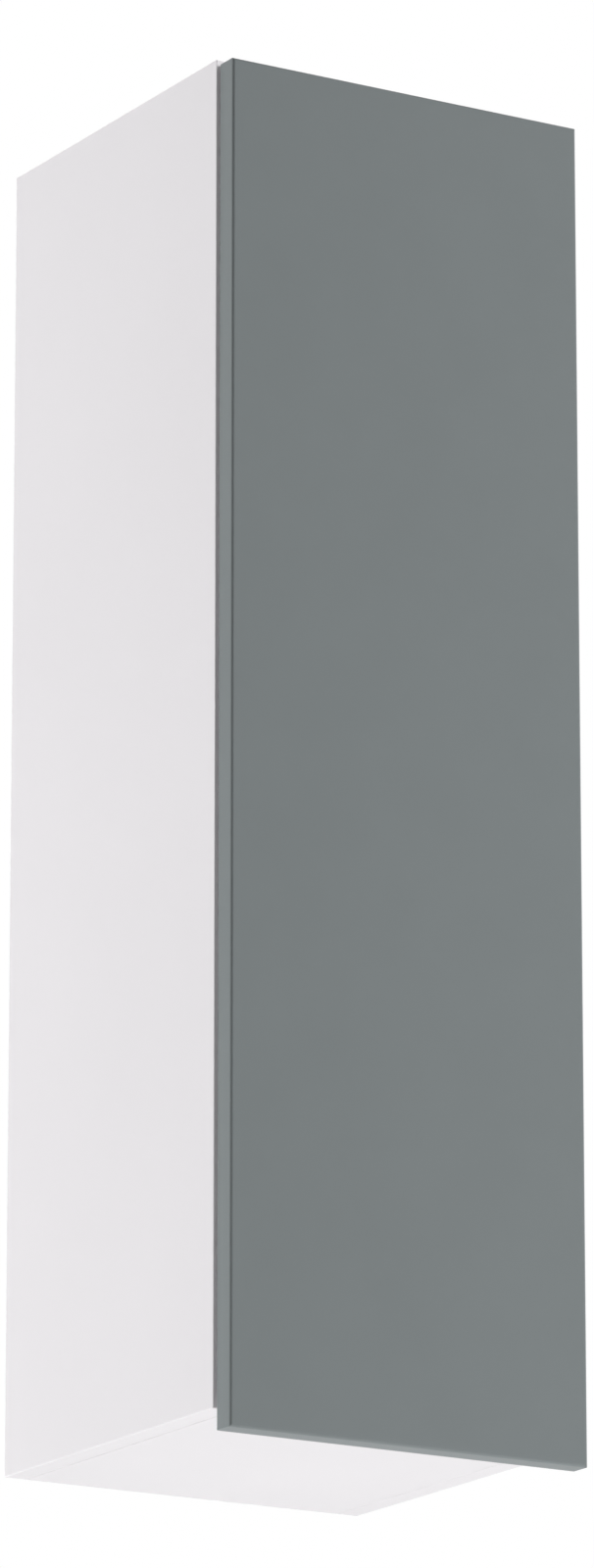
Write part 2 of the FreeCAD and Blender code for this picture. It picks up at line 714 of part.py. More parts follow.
def make_inner_link():
    """Two cranked lever plates on the lever pin; a slot at the far end rides on the guide pin."""
    run_u = "(guide_pin_u - lever_knee_u)"
    run_v = "(guide_pin_v - lever_knee_v)"
    run = f"sqrt({run_u} * {run_u} + {run_v} * {run_v})"
    slot_end = (f"guide_pin_u + slot_travel * {run_u} / {run}",
                f"guide_pin_v + slot_travel * {run_v} / {run}")
    plates = []
    for low, high in both_faces("lever_near", "lever_far"):
        eye = "slot_half_width + slot_wall"
        solid = fuse("lever_solid", [
            rod("lever_end", "thin_pin_radius + slot_wall", "z", low, high, plan(*LEVER_PIN)),
            bar("lever_foot", LEVER_PIN, KNEE, "lever_half_width", low, high),
            rod("lever_knee", "lever_half_width", "z", low, high, plan(*KNEE)),
            bar("lever_run", KNEE, GUIDE_PIN, "lever_half_width", low, high),
            rod("lever_eye", eye, "z", low, high, plan(*GUIDE_PIN)),
            bar("lever_eye_run", GUIDE_PIN, slot_end, eye, low, high),
            rod("lever_eye_far", eye, "z", low, high, plan(*slot_end)),
        ])
        slot = fuse("lever_slot", [
            rod("slot_near", "slot_half_width", "z", low, high, plan(*GUIDE_PIN)),
            bar("slot_run", GUIDE_PIN, slot_end, "slot_half_width", low, high),
            rod("slot_far", "slot_half_width", "z", low, high, plan(*slot_end)),
        ])
        hole = rod("lever_hole", "thin_pin_radius + pin_play", "z", low, high, plan(*LEVER_PIN))
        plates.append(cut("lever_plate", solid, [slot, hole]))
    for level, z in hinge_heights():
        node(f"hinge_{level}_inner_link",
             [copy(f"lever_{level}_{i}", plate, z=z) for i, plate in enumerate(plates)])


def make_arm():
    """Channel-shaped arm: it lies on the plate and rises at the front to two cheeks with the arm pins."""
    seat = "arm_seat"
    top = "arm_seat + arm_thick"
    corners = [
        (seat, "-arm_rear"),
        (seat, "-arm_rise_start"),
        ("arm_pin_u - arm_boss", "arm_pin_v - arm_boss"),
        ("arm_pin_u - arm_boss", "arm_pin_v"),
        ("arm_pin_u - arm_boss / 2", "arm_pin_v + arm_boss"),
        ("arm_pin_u + arm_boss / 2", "arm_pin_v + arm_boss"),
        ("guide_pin_u + guide_boss", "guide_pin_v + guide_boss"),
        ("guide_pin_u + guide_boss", "guide_pin_v - guide_boss"),
        ("guide_pin_u - guide_boss", "guide_pin_v - 2 * guide_boss"),
        (top, "-arm_rise_start - arm_thick"),
        (top, "-arm_rear"),
    ]
    shape, _ = slab("arm_shape", "XY_Plane", [plan(*corner) for corner in corners], "-cheek_far",
                    "cheek_far")
    floor = "arm_seat + arm_web"
    top_u = "guide_pin_u + 2 * guide_boss"
    inside = [
        (floor, "arm_web - arm_rear"),
        (floor, "-arm_rise_start"),
        (floor, "-arm_front_web"),
        (seat, "-arm_front_web"),
        (seat, "arm_pin_v + 2 * arm_boss"),
        (top_u, "arm_pin_v + 2 * arm_boss"),
        (top_u, "arm_web - arm_rear"),
    ]
    hollow, _ = slab("arm_hollow", "XY_Plane", [plan(*corner) for corner in inside], "-cheek_near",
                     "cheek_near")
    holes = [cross_pin("arm_pin_seat", "pin_radius", *ARM_PIN, "cheek_far"),
             cross_pin("guide_pin_seat", "thin_pin_radius", *GUIDE_PIN, "cheek_far")]
    for place in ("side_screw", "lock_screw"):
        _, y = plan("0", f"-{place}")
        holes.append(rod("arm_screw_hole", "set_screw_radius + set_screw_play", "x", *side_x(seat, floor),
                         (y, "0")))
    both_heights("arm", cut("hinge_arm", shape, [hollow] + holes))


def make_plate():
    """Mounting plate: two screwed wings on the side and a spine under the arm."""
    front = "-plate_front"
    rear = "-arm_rear"
    y_low = plan("0", front)[1]
    y_high = plan("0", rear)[1]
    middle = f"{FRONT} + plate_setback"
    wings = box("plate_wings", side_x("0", "plate_wing_thick"),
                (f"{middle} - plate_wing_half_width", f"{middle} + plate_wing_half_width"),
                ("-plate_wing_half_height", "plate_wing_half_height"))
    spine = box("plate_spine", side_x("0", "arm_seat"), (y_low, y_high), ("-cheek_far", "cheek_far"))
    holes = [rod("plate_hole", "plate_screw_radius + wood_screw_play", "x",
                 *side_x("0", "plate_wing_thick"),
                 (middle, f"{sign}plate_screw_pitch / 2")) for sign in ("-", "")]
    for place in ("side_screw", "lock_screw"):
        _, y = plan("0", f"-{place}")
        holes.append(rod("plate_screw_seat", "set_screw_radius + set_screw_play", "x",
                         *side_x("arm_seat - set_screw_bite", "arm_seat"), (y, "0")))
    both_heights("plate", cut("hinge_plate", fuse("plate_solid", [wings, spine]), holes))
    screw = fuse("plate_screw", [
        rod("plate_screw_shank", "plate_screw_radius", "z", "-plate_wing_thick", "plate_screw_bite",
            ("0", "0")),
        rod("plate_screw_top", "plate_screw_head_radius", "z", "-plate_wing_thick - plate_screw_head",
            "-plate_wing_thick", ("0", "0")),
    ])
    at_both_heights("hinge_plate_screws",
                    [copy("plate_screw_at", screw, INNER, middle, f"{sign}plate_screw_pitch / 2", "x")
                                           for sign in ("-", "")])
    web_top = "arm_seat + arm_web"
    set_screw = fuse("set_screw", [
        rod("set_screw_shank", "set_screw_radius", "z", "0", "arm_web + set_screw_bite", ("0", "0")),
        rod("set_screw_top", "set_screw_head_radius", "z", "-set_screw_head", "0", ("0", "0")),
    ])
    at_both_heights("hinge_arm_screws", [
        copy("set_screw_at", set_screw, f"{INNER} - ({web_top})", plan("0", f"-{place}")[1], "0", "x")
        for place in ("side_screw", "lock_screw")])


# Wall hangers: made on the right and mirrored to the left

def on_both_sides(name, source):
    node(f"hanger_right_{name}", [source])
    node(f"hanger_left_{name}", [mirrored(f"{name}_left", source)])


def ahead(near, far):
    """The y span between two distances forward of the hanger's rear."""
    return (f"{HANGER_REAR} - ({far})", f"{HANGER_REAR} - ({near})")


def level_z(low, high):
    """The z span between two heights above the hanger's middle."""
    return (f"{HANGER_MIDDLE} + ({low})", f"{HANGER_MIDDLE} + ({high})")


def make_housing():
    full_z = (HANGER_LOW, HANGER_TOP)
    shell = box("housing_shell", side_x("0", "hanger_width"), ahead("0", "hanger_depth"), full_z)
    ear = box("housing_ear", side_x("0", "hanger_wall"),
              ahead("hanger_depth", "hanger_depth + hanger_flange"), full_z)
    hollow = box("housing_hollow", side_x("hanger_wall", "hanger_width - hanger_wall"),
                 ahead("0", "hanger_depth - hanger_wall"),
                 (f"{HANGER_LOW} + hanger_wall", f"{HANGER_TOP} - hanger_wall"))
    access = box("housing_access",
                 side_x("hook_middle - access_half_width", "hook_middle + access_half_width"),
                 ahead("hanger_depth - hanger_wall", "hanger_depth"),
                 level_z("-depth_screw_drop - hook_travel - access_half_width",
                         "hook_travel + access_half_width - depth_screw_drop"))
    screw_x = f"{INNER} - height_screw_middle"
    screw_y = f"{HANGER_REAR} - height_screw_forward"
    foot = rod("housing_foot_hole", "height_screw_radius + wall_hole_play", "z", HANGER_LOW,
               f"{HANGER_LOW} + hanger_wall",
               (screw_x, screw_y))
    holes = [rod("housing_ear_hole", "hanger_screw_radius + wood_screw_play", "x",
                 *side_x("0", "hanger_wall"),
                 (HANGER_SCREW_Y, f"{HANGER_MIDDLE} {sign} hanger_screw_rise")) for sign in ("-", "+")]
    on_both_sides("housing",
                  cut("hanger_housing", fuse("housing_solid", [shell, ear]),
                      [hollow, access, foot] + holes))
    front = box("cover_front", side_x("hanger_wall", "hanger_width + cover_thick"),
                ahead("hanger_depth", "hanger_depth + cover_thick"), full_z)
    lip = box("cover_side", side_x("hanger_width", "hanger_width + cover_thick"),
              ahead("hanger_depth - cover_lip", "hanger_depth"), full_z)
    on_both_sides("cover", fuse("hanger_cover", [front, lip]))
    screw = fuse("hanger_screw", [
        rod("hanger_screw_shank", "hanger_screw_radius", "z", "-hanger_wall", "hanger_screw_bite",
            ("0", "0")),
        rod("hanger_screw_top", "hanger_screw_head_radius", "z", "-hanger_wall - hanger_screw_head",
            "-hanger_wall",
            ("0", "0")),
    ])
    right = group("hanger_screws_right", [
        copy("hanger_screw_at", screw, INNER, HANGER_SCREW_Y, f"{HANGER_MIDDLE} {sign} hanger_screw_rise",
             "x")
        for sign in ("-", "+")])
    node("hanger_fixing_screws", [right, mirrored("hanger_screws_left", right)])


def make_slider():
    """Nut block that climbs the height screw; the hook's bar runs through it."""
    block = box("slider_block",
                side_x("hanger_wall + slider_play", "hanger_width - hanger_wall - slider_play"),
                ahead("slider_rear", "slider_rear + slider_depth"),
                level_z("-slider_half_height", "slider_half_height"))
    half = "hook_thick / 2 + hook_play"
    channel = box("slider_channel", side_x(f"hook_middle - ({half})", f"hook_middle + ({half})"),
                  ahead("slider_rear", "slider_rear + slider_depth"),
                  level_z("hook_low - hook_play", "hook_high + hook_play"))
    nut = rod("slider_nut", "height_screw_radius + screw_play", "z",
              *level_z("-slider_half_height", "slider_half_height"),
              (f"{INNER} - height_screw_middle", f"{HANGER_REAR} - height_screw_forward"))
    socket = rod("slider_socket", "depth_screw_radius + screw_play", "y",
                 *ahead("depth_screw_tip", "slider_rear + slider_depth"),
                 (f"{INNER} - hook_middle", f"{HANGER_MIDDLE} - depth_screw_drop"))
    on_both_sides("slider", cut("hanger_slider", block, [channel, nut, socket]))


def make_hook():
    """Steel hook: a bar with a lip that drops behind the wall rail, and a threaded lug in front."""
    profile = [
        ("-lug_front", "-lug_low"),
        ("-lug_front", "hook_high"),
        ("hook_reach", "hook_high"),
        ("hook_reach", "-hook_lip_drop"),
        ("hook_reach - hook_lip", "-hook_lip_drop"),
        ("hook_reach - hook_lip", "hook_low"),
        ("lug_thick - lug_front", "hook_low"),
        ("lug_thick - lug_front", "-lug_low"),
    ]
    corners = [(f"{HANGER_REAR} + ({y})", f"{HANGER_MIDDLE} + ({z})") for y, z in profile]
    low, high = side_x("hook_middle - hook_thick / 2", "hook_middle + hook_thick / 2")
    strip, _ = slab("hook_strip", "YZ_Plane", corners, low, high)
    lug = box("hook_lug", side_x("hook_middle - lug_width / 2", "hook_middle + lug_width / 2"),
              ahead("lug_front - lug_thick", "lug_front"), level_z("-lug_low", "0"))
    thread = rod("hook_thread", "depth_screw_radius + screw_play", "y",
                 *ahead("lug_front - lug_thick", "lug_front"),
                 (f"{INNER} - hook_middle", f"{HANGER_MIDDLE} - depth_screw_drop"))
    on_both_sides("hook", cut("hanger_hook", fuse("hook_solid", [strip, lug]), [thread]))


def make_hanger_screws():
    """Height screw through the housing's floor and depth screw through the hook's lug."""
    depth_place = (f"{INNER} - hook_middle", f"{HANGER_MIDDLE} - depth_screw_drop")
    on_both_sides("depth_screw", fuse("depth_screw", [
        rod("depth_screw_shank", "depth_screw_radius", "y", *ahead("depth_screw_tip", "depth_screw_end"),
            depth_place),
        rod("depth_screw_top", "depth_screw_head_radius", "y",
            *ahead("depth_screw_end - depth_screw_head", "depth_screw_end"),
            depth_place),
    ]))
    height_place = (f"{INNER} - height_screw_middle", f"{HANGER_REAR} - height_screw_forward")
    under = f"{HANGER_LOW} - wall_hole_play"
    on_both_sides("height_screw", fuse("height_screw", [
        rod("height_screw_shank", "height_screw_radius", "z", under,
            f"{HANGER_TOP} - height_screw_top_play", height_place),
        rod("height_screw_top", "height_screw_head_radius", "z", f"{under} - height_screw_head", under,
            height_place),
    ]))


def check_and_write():
    """Every object has to be sound before any file is written."""
    doc.recompute()
    for obj in doc.Objects:
        faults = [state for state in obj.State if state in ("Invalid", "Error")]
        if faults:
            raise RuntimeError(f"{obj.Name} is {faults}")
    os.makedirs("parts", exist_ok=True)
    for piece in nodes:
        shape = piece.Shape
        if shape.isNull() or not shape.isValid() or not shape.Solids:
            raise RuntimeError(f"{piece.Label} has no sound shape")
    for piece in nodes:
        piece.Shape.exportStep(f"parts/{piece.Label}.step")
        print(f"{piece.Label}: {len(piece.Shape.Solids)} solids, {piece.Shape.Volume:.0f} mm3")


make_sides()
make_panels()
make_back()
make_shelves()
make_pegs()
make_fittings()
make_door()
make_cup()
make_pins()
make_outer_link()
make_inner_link()
make_arm()
make_plate()
make_housing()
make_slider()
make_hook()
make_hanger_screws()
check_and_write()
print(len(nodes), "nodes")
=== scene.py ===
# %% [markdown]
# A kitchen wall cabinet, dressed for its picture. The CAD model already gives every board, hinge and screw
# its place and size, in metres. This lesson adds what a camera sees on the real thing: the broken edges of
# sawn boards, a wrapped foil, turned and pressed metal, and a finish on every surface. The boards could be
# drawn again from their sizes, but the loaded frame keeps each piece where the construction puts it.

import json
import math
from itertools import chain

import bmesh
import bpy
import numpy as np
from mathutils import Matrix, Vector

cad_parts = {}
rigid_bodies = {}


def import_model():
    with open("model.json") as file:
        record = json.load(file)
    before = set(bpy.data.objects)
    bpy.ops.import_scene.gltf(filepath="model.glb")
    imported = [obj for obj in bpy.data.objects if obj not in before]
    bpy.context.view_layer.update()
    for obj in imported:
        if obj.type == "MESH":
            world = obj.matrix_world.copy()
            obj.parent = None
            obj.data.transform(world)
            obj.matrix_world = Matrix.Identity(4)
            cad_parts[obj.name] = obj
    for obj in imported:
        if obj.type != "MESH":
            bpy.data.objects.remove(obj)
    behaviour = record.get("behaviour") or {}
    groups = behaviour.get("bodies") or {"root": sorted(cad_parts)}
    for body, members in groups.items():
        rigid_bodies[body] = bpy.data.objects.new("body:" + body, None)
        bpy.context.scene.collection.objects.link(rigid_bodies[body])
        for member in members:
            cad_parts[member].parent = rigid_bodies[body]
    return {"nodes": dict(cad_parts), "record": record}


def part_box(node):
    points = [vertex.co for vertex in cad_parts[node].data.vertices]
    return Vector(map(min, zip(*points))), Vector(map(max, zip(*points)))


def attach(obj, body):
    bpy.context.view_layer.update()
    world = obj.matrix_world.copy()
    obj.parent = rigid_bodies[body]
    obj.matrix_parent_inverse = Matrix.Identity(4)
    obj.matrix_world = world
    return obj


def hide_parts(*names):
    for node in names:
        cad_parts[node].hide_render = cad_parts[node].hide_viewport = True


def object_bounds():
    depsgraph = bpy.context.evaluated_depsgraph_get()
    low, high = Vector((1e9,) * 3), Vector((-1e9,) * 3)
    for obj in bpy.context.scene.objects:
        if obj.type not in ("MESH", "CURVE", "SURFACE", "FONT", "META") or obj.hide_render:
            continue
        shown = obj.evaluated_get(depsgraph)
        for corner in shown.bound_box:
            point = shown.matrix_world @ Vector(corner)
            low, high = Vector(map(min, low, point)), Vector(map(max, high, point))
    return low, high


for leftover in list(bpy.data.objects):
    bpy.data.objects.remove(leftover)
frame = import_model()
cad_low, cad_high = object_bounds()
nodes = frame["nodes"]
MM = 0.001

# %% [markdown]
# Finishes come first. No surface of the real cabinet is one flat tone: a lacquer wanders a little in colour,
# a moulding has a fine skin, a plated sheet is cloudy. A picture of each surface could be wrapped on, but it
# has one fixed size and a seam. A node tree around a Principled shader has neither. All patterns read Object
# coordinates, which here are metres in the cabinet's own frame, so a pattern has its real size and stays put
# from any side.

# %% Node helpers
PLASTIC_IOR = 1.45


def finish_tree(name, roughness, metallic=0.0):
    """Start a finish: its material, its node tree and its shader."""
    material = bpy.data.materials.new(name)
    material.use_nodes = True
    shader = material.node_tree.nodes["Principled BSDF"]
    shader.inputs["Roughness"].default_value = roughness
    shader.inputs["Metallic"].default_value = metallic
    shader.inputs["IOR"].default_value = PLASTIC_IOR
    return material, material.node_tree, shader


def add(tree, kind, inputs=None, **settings):
    """Add a node, set its properties, and set or link its inputs."""
    node = tree.nodes.new(kind)
    for key, value in settings.items():
        setattr(node, key, value)
    for key, value in (inputs or {}).items():
        if isinstance(value, bpy.types.NodeSocket):
            tree.links.new(value, node.inputs[key])
        else:
            node.inputs[key].default_value = value
    return node


def on_piece(tree, stretch=(1.0, 1.0, 1.0)):
    """Object coordinates, stretched along the axes where a pattern has a direction."""
    coordinates = add(tree, "ShaderNodeTexCoord")
    mapping = add(tree, "ShaderNodeMapping", {"Vector": coordinates.outputs["Object"], "Scale": stretch})
    return mapping.outputs["Vector"]


def clouds(tree, place, size, detail=3.0):
    """Soft noise whose lumps are about as big as size, in metres."""
    noise = add(tree, "ShaderNodeTexNoise", {"Vector": place, "Scale": 1.0 / size, "Detail": detail})
    return noise.outputs["Fac"]


print("node helpers ready")

# %% [markdown]
# A noise value becomes a colour, a roughness or a height. On a real sheet the three go together: where the
# skin is a little rougher it is also a little duller. Curves or hand-painted maps could do this too. A colour
# ramp, a range and a bump node are enough here, and each can be read at a glance.

# %% Tone, shine and relief
NOISE_LOW, NOISE_HIGH = 0.3, 0.7
MIX_FACTOR, MIX_A, MIX_B, MIX_RESULT = 0, 6, 7, 2


def two_tones(tree, factor, dark, light, low=NOISE_LOW, high=NOISE_HIGH):
    """A colour ramp between two tones."""
    ramp = add(tree, "ShaderNodeValToRGB", {"Fac": factor})
    for element, position, tone in zip(ramp.color_ramp.elements, (low, high), (dark, light)):
        element.position = position
        element.color = (*tone, 1.0)
    return ramp.outputs["Color"]


def mixed(tree, factor, first, second):
    """The first colour where factor is 0, the second where it is 1."""
    mix = add(tree, "ShaderNodeMix", {MIX_FACTOR: factor, MIX_A: first, MIX_B: second}, data_type="RGBA")
    return mix.outputs[MIX_RESULT]


def ranged(tree, factor, low, high):
    """Spread a noise value over a range, for roughness that varies."""
    span = add(tree, "ShaderNodeMapRange", {"Value": factor, "From Min": NOISE_LOW, "From Max": NOISE_HIGH,
                                            "To Min": low, "To Max": high})
    return span.outputs["Result"]


def relief(tree, shader, height, depth):
    """Press a height pattern into the surface; depth is in metres."""
    bump = add(tree, "ShaderNodeBump", {"Height": height, "Distance": depth, "Strength": 1.0})
    tree.links.new(bump.outputs["Normal"], shader.inputs["Normal"])


def toned(tone, share):
    """The same tone, a little lighter or darker."""
    return tuple(min(1.0, channel * share) for channel in tone)


print("tone helpers ready")

# %% [markdown]
# The door's foil, the edge bands, the moulded caps and the plated metal differ only in tone, shine and the
# size of their skin. Each could have a node tree of its own, but one function makes them all: clouds for the
# colour, a finer noise for the roughness, and the same fine noise as a skin for the relief.

# %% Plain finishes
PLAIN_GLOSS = 0.5
FINE_DETAIL = 2.0


def skinned(name, tone, cloud, skin, depth, roughness, drift, spread=0.05, metallic=0.0, gloss=PLAIN_GLOSS):
    """A finish with a drifting tone, a fine skin and a roughness that varies a little; sizes in mm."""
    material, tree, shader = finish_tree(name, roughness, metallic)
    shader.inputs["Specular IOR Level"].default_value = gloss
    place = on_piece(tree)
    drifting = clouds(tree, place, cloud * MM)
    colour = two_tones(tree, drifting, toned(tone, 1.0 - drift), toned(tone, 1.0 + drift))
    tree.links.new(colour, shader.inputs["Base Color"])
    fine = clouds(tree, place, skin * MM, FINE_DETAIL)
    rough = ranged(tree, fine, roughness - spread, roughness + spread)
    tree.links.new(rough, shader.inputs["Roughness"])
    relief(tree, shader, fine, depth * MM)
    return material


WHITE = (0.80, 0.780, 0.80)
GREY = (0.210, 0.233, 0.237)
CAP_WHITE = (0.80, 0.80, 0.785)
HANGER_WHITE = (0.78, 0.78, 0.775)
NICKEL = (0.70, 0.68, 0.64)
ZINC = (0.62, 0.63, 0.65)
CAST_ZINC = (0.42, 0.42, 0.42)
PEARL = {"cloud": 250, "skin": 0.9, "depth": 0.015, "roughness": 0.42, "drift": 0.01}

foil_finish = skinned("grey_door_foil", GREY, cloud=60, skin=0.6, depth=0.012, roughness=0.48, drift=0.012,
                      gloss=0.35)
band_finish = skinned("white_edge_band", WHITE, **PEARL)
cap_finish = skinned("white_cap_plastic", CAP_WHITE, cloud=20, skin=0.5, depth=0.01, roughness=0.35,
                     drift=0.015)
hanger_finish = skinned("white_hanger_plastic", HANGER_WHITE, cloud=30, skin=0.7, depth=0.02, roughness=0.42,
                        drift=0.02)
nickel_finish = skinned("nickel_plating", NICKEL, cloud=14, skin=1.6, depth=0.002, roughness=0.24, drift=0.02,
                        spread=0.04, metallic=1.0)
zinc_finish = skinned("zinc_plating", ZINC, cloud=6, skin=0.9, depth=0.003, roughness=0.32, drift=0.04,
                      metallic=1.0)
cast_finish = skinned("die_cast_zinc", CAST_ZINC, cloud=4, skin=0.4, depth=0.02, roughness=0.5, drift=0.08,
                      spread=0.08, metallic=1.0)
print("plain finishes:", len(bpy.data.materials), "materials so far")

# %% [markdown]
# A carcass board is pressed wood chips between two melamine skins, and the back and the door are fine wood
# fibre. Where a saw or a drill has cut a board, its core shows. Chips could be modelled one by one, but a cut
# edge is smooth, so they are cells of a random tone, flat in the board's plane, with wood dust between them.

# %% Board cores
CHIP_TONES = ((0.27, 0.18, 0.10), (0.64, 0.50, 0.33))
DUST_TONES = ((0.36, 0.25, 0.15), (0.56, 0.42, 0.27))
FIBRE_TONES = ((0.31, 0.20, 0.11), (0.43, 0.30, 0.18))
CHIP_CELL, DUST_GRAIN, DUST_PATCH, FIBRE = 1.5 * MM, 0.5 * MM, 1.2 * MM, 1.4 * MM
CHIP_LONG, CHIP_THIN = 0.4, 1.5
DUST_DETAIL, FIBRE_DETAIL = 6.0, 8.0


def chip_core(tree, axis):
    """Flat wood chips: cells of a random tone, thin across the board and long in it, with dust between."""
    stretch = [CHIP_LONG, CHIP_LONG, CHIP_LONG]
    stretch["XYZ".index(axis)] = CHIP_THIN
    place = on_piece(tree, stretch)
    cells = add(tree, "ShaderNodeTexVoronoi", {"Vector": place, "Scale": 1.0 / CHIP_CELL})
    split = add(tree, "ShaderNodeSeparateColor", {"Color": cells.outputs["Color"]})
    chips = two_tones(tree, split.outputs["Red"], *CHIP_TONES, low=0.0, high=1.0)
    dust = two_tones(tree, clouds(tree, place, DUST_GRAIN, DUST_DETAIL), *DUST_TONES)
    return mixed(tree, clouds(tree, place, DUST_PATCH, FINE_DETAIL), chips, dust)


def fibre_core(tree, axis):
    """Fine brown fibre: soft noise with many octaves, the same along every axis."""
    return two_tones(tree, clouds(tree, on_piece(tree), FIBRE, FIBRE_DETAIL), *FIBRE_TONES)


print("core patterns ready")

# %% [markdown]
# The white face is melamine with a fine pearl texture. Cut surfaces, such as peg holes, grooves and the rear
# edges, lie between a board's two faces. Faces and cuts could have two materials, given out face by face. One
# finish that measures how deep a point lies in the board needs no sorting, and follows every hole by itself.

# %% Board finishes
FACE_SKIN = 0.6 * MM
CUT_ROUGHER = 0.4


def between(tree, axis, low, high):
    """1 where a point lies between two places on an axis, else 0: |place - middle| < half."""
    coordinates = add(tree, "ShaderNodeTexCoord")
    place = add(tree, "ShaderNodeSeparateXYZ", {"Vector": coordinates.outputs["Object"]}).outputs[axis]
    middle, half = (low + high) / 2, (high - low) / 2
    offset = add(tree, "ShaderNodeMath", {0: place, 1: middle}, operation="SUBTRACT")
    distance = add(tree, "ShaderNodeMath", {0: offset.outputs[0]}, operation="ABSOLUTE")
    return add(tree, "ShaderNodeMath", {0: distance.outputs[0], 1: half}, operation="LESS_THAN").outputs[0]


def faced(name, axis, low, high, core):
    """White melamine, with the core's colour between two places on an axis."""
    material, tree, shader = finish_tree(name, PEARL["roughness"])
    place = on_piece(tree)
    pale, light = toned(WHITE, 1.0 - PEARL["drift"]), toned(WHITE, 1.0 + PEARL["drift"])
    face = two_tones(tree, clouds(tree, place, PEARL["cloud"] * MM), pale, light)
    cut = between(tree, axis, low, high)
    tree.links.new(mixed(tree, cut, face, core(tree, axis)), shader.inputs["Base Color"])
    rough = add(tree, "ShaderNodeMath", {0: cut, 1: CUT_ROUGHER, 2: PEARL["roughness"]},
                operation="MULTIPLY_ADD")
    tree.links.new(rough.outputs[0], shader.inputs["Roughness"])
    relief(tree, shader, clouds(tree, place, PEARL["skin"] * MM, FINE_DETAIL), PEARL["depth"] * MM)
    return material


def board_finish(node, axis):
    """The finish of one CAD board whose two faces lie across the given axis."""
    low, high = (corner["XYZ".index(axis)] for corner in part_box(node))
    return faced(node + "_melamine", axis, low + FACE_SKIN, high - FACE_SKIN, chip_core)


def one_face_finish(name, node, shift):
    """A sheet across the cabinet's depth, faced white on the side that the fibre is shifted away from."""
    low, high = (corner[1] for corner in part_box(node))
    return faced(name, "Y", low + shift, high + shift, fibre_core)


BOARD_AXES = {"side_panel_left": "X", "side_panel_right": "X", "top_panel": "Z", "bottom_panel": "Z",
              "shelf_lower": "Z", "shelf_upper": "Z"}
board_finishes = {node: board_finish(node, axis) for node, axis in BOARD_AXES.items()}
back_finish = one_face_finish("back_panel_board", "back_panel", FACE_SKIN)
door_back_finish = one_face_finish("door_board", "door_core", -FACE_SKIN)
print("board finishes:", len(board_finishes) + 2)

# %% [markdown]
# Two finishes stand apart. The dowels are beech, whose grain has a direction, so its noise is stretched along
# the dowel; a wood texture with year rings would be too coarse for a bar this thin. The little door stops are
# clear soft plastic, which lets light through and blurs it, so part of their shader is transmission.

# %% Beech and clear plastic
BEECH_TONES = ((0.48, 0.32, 0.18), (0.66, 0.48, 0.30))
BEECH_ROUGH, BEECH_GRAIN, BEECH_DETAIL, BEECH_DEPTH = 0.6, 0.7 * MM, 4.0, 0.03 * MM
GRAIN_STRETCH = (0.06, 1.0, 1.0)
CLEAR_TONES = ((0.86, 0.88, 0.88), (0.92, 0.93, 0.93))
CLEAR_ROUGH, CLEAR_SHARE = 0.22, 0.8
CLEAR_CLOUD, CLEAR_SKIN, CLEAR_DEPTH = 3 * MM, 1.2 * MM, 0.01 * MM


def beech():
    """Warm wood with streaks along x, the way the dowels lie."""
    material, tree, shader = finish_tree("dowel_beech", BEECH_ROUGH)
    grain = clouds(tree, on_piece(tree, GRAIN_STRETCH), BEECH_GRAIN, BEECH_DETAIL)
    tree.links.new(two_tones(tree, grain, *BEECH_TONES), shader.inputs["Base Color"])
    relief(tree, shader, grain, BEECH_DEPTH)
    return material


def clear_plastic():
    """Soft clear plastic with a faintly uneven skin."""
    material, tree, shader = finish_tree("clear_stop_plastic", CLEAR_ROUGH)
    place = on_piece(tree)
    colour = two_tones(tree, clouds(tree, place, CLEAR_CLOUD), *CLEAR_TONES)
    tree.links.new(colour, shader.inputs["Base Color"])
    shader.inputs["Transmission Weight"].default_value = CLEAR_SHARE
    relief(tree, shader, clouds(tree, place, CLEAR_SKIN), CLEAR_DEPTH)
    return material


beech_finish = beech()
stop_finish = clear_plastic()
print("special finishes:", beech_finish.name, stop_finish.name)

# %% [markdown]
# Boards, stampings and mouldings keep their CAD shape. A CAD mesh is loose triangles, so a copy is welded and
# its flat triangles are joined, which leaves clean faces to work on. The piece then rides on its node's body
# with a finish of its own, and the node is hidden. Modelling these shapes again would only risk a misfit.

# %% Welded copies
SHARP = math.radians(35)
FLAT = math.radians(0.5)
WELD = 0.002 * MM
body_of = {node: body for body, members in frame["record"]["behaviour"]["bodies"].items() for node in members}


def merged_copy(node):
    """A copy of a CAD node's mesh with its loose triangles welded and flat ones joined."""
    mesh = nodes[node].data.copy()
    work = bmesh.new()
    work.from_mesh(mesh)
    bmesh.ops.remove_doubles(work, verts=work.verts, dist=WELD)
    bmesh.ops.dissolve_limit(work, angle_limit=FLAT, verts=work.verts, edges=work.edges)
    work.to_mesh(mesh)
    work.free()
    if mesh.has_custom_normals:
        mesh.attributes.remove(mesh.attributes["custom_normal"])
    mesh.shade_smooth()
    mesh.set_sharp_from_angle(angle=SHARP)
    return mesh


def add_piece(name, mesh, finish, node):
    """Put a finished mesh into the scene as a piece that rides on its node's body and stands for it."""
    mesh.materials.clear()
    mesh.materials.append(finish)
    piece = bpy.data.objects.new(name, mesh)
    bpy.context.scene.collection.objects.link(piece)
    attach(piece, body_of[node])
    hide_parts(node)
    return piece


# %% [markdown]
# A CAD edge is perfectly sharp, a real one never is: a board is sawn and sanded, a band is trimmed with a
# small radius. Such an edge catches light, and where two boards meet, two small rounds draw the fine seam one
# sees. A Bevel modifier makes them. A band is glued flush to its board, so the edges in that joint stay
# sharp: bevel weights choose the edges, where a limit by angle would open a groove along every glue line.

# %% Broken edges
BEVEL_STEPS = 2
BOARD_EDGE, BAND_EDGE = 0.5, 0.9


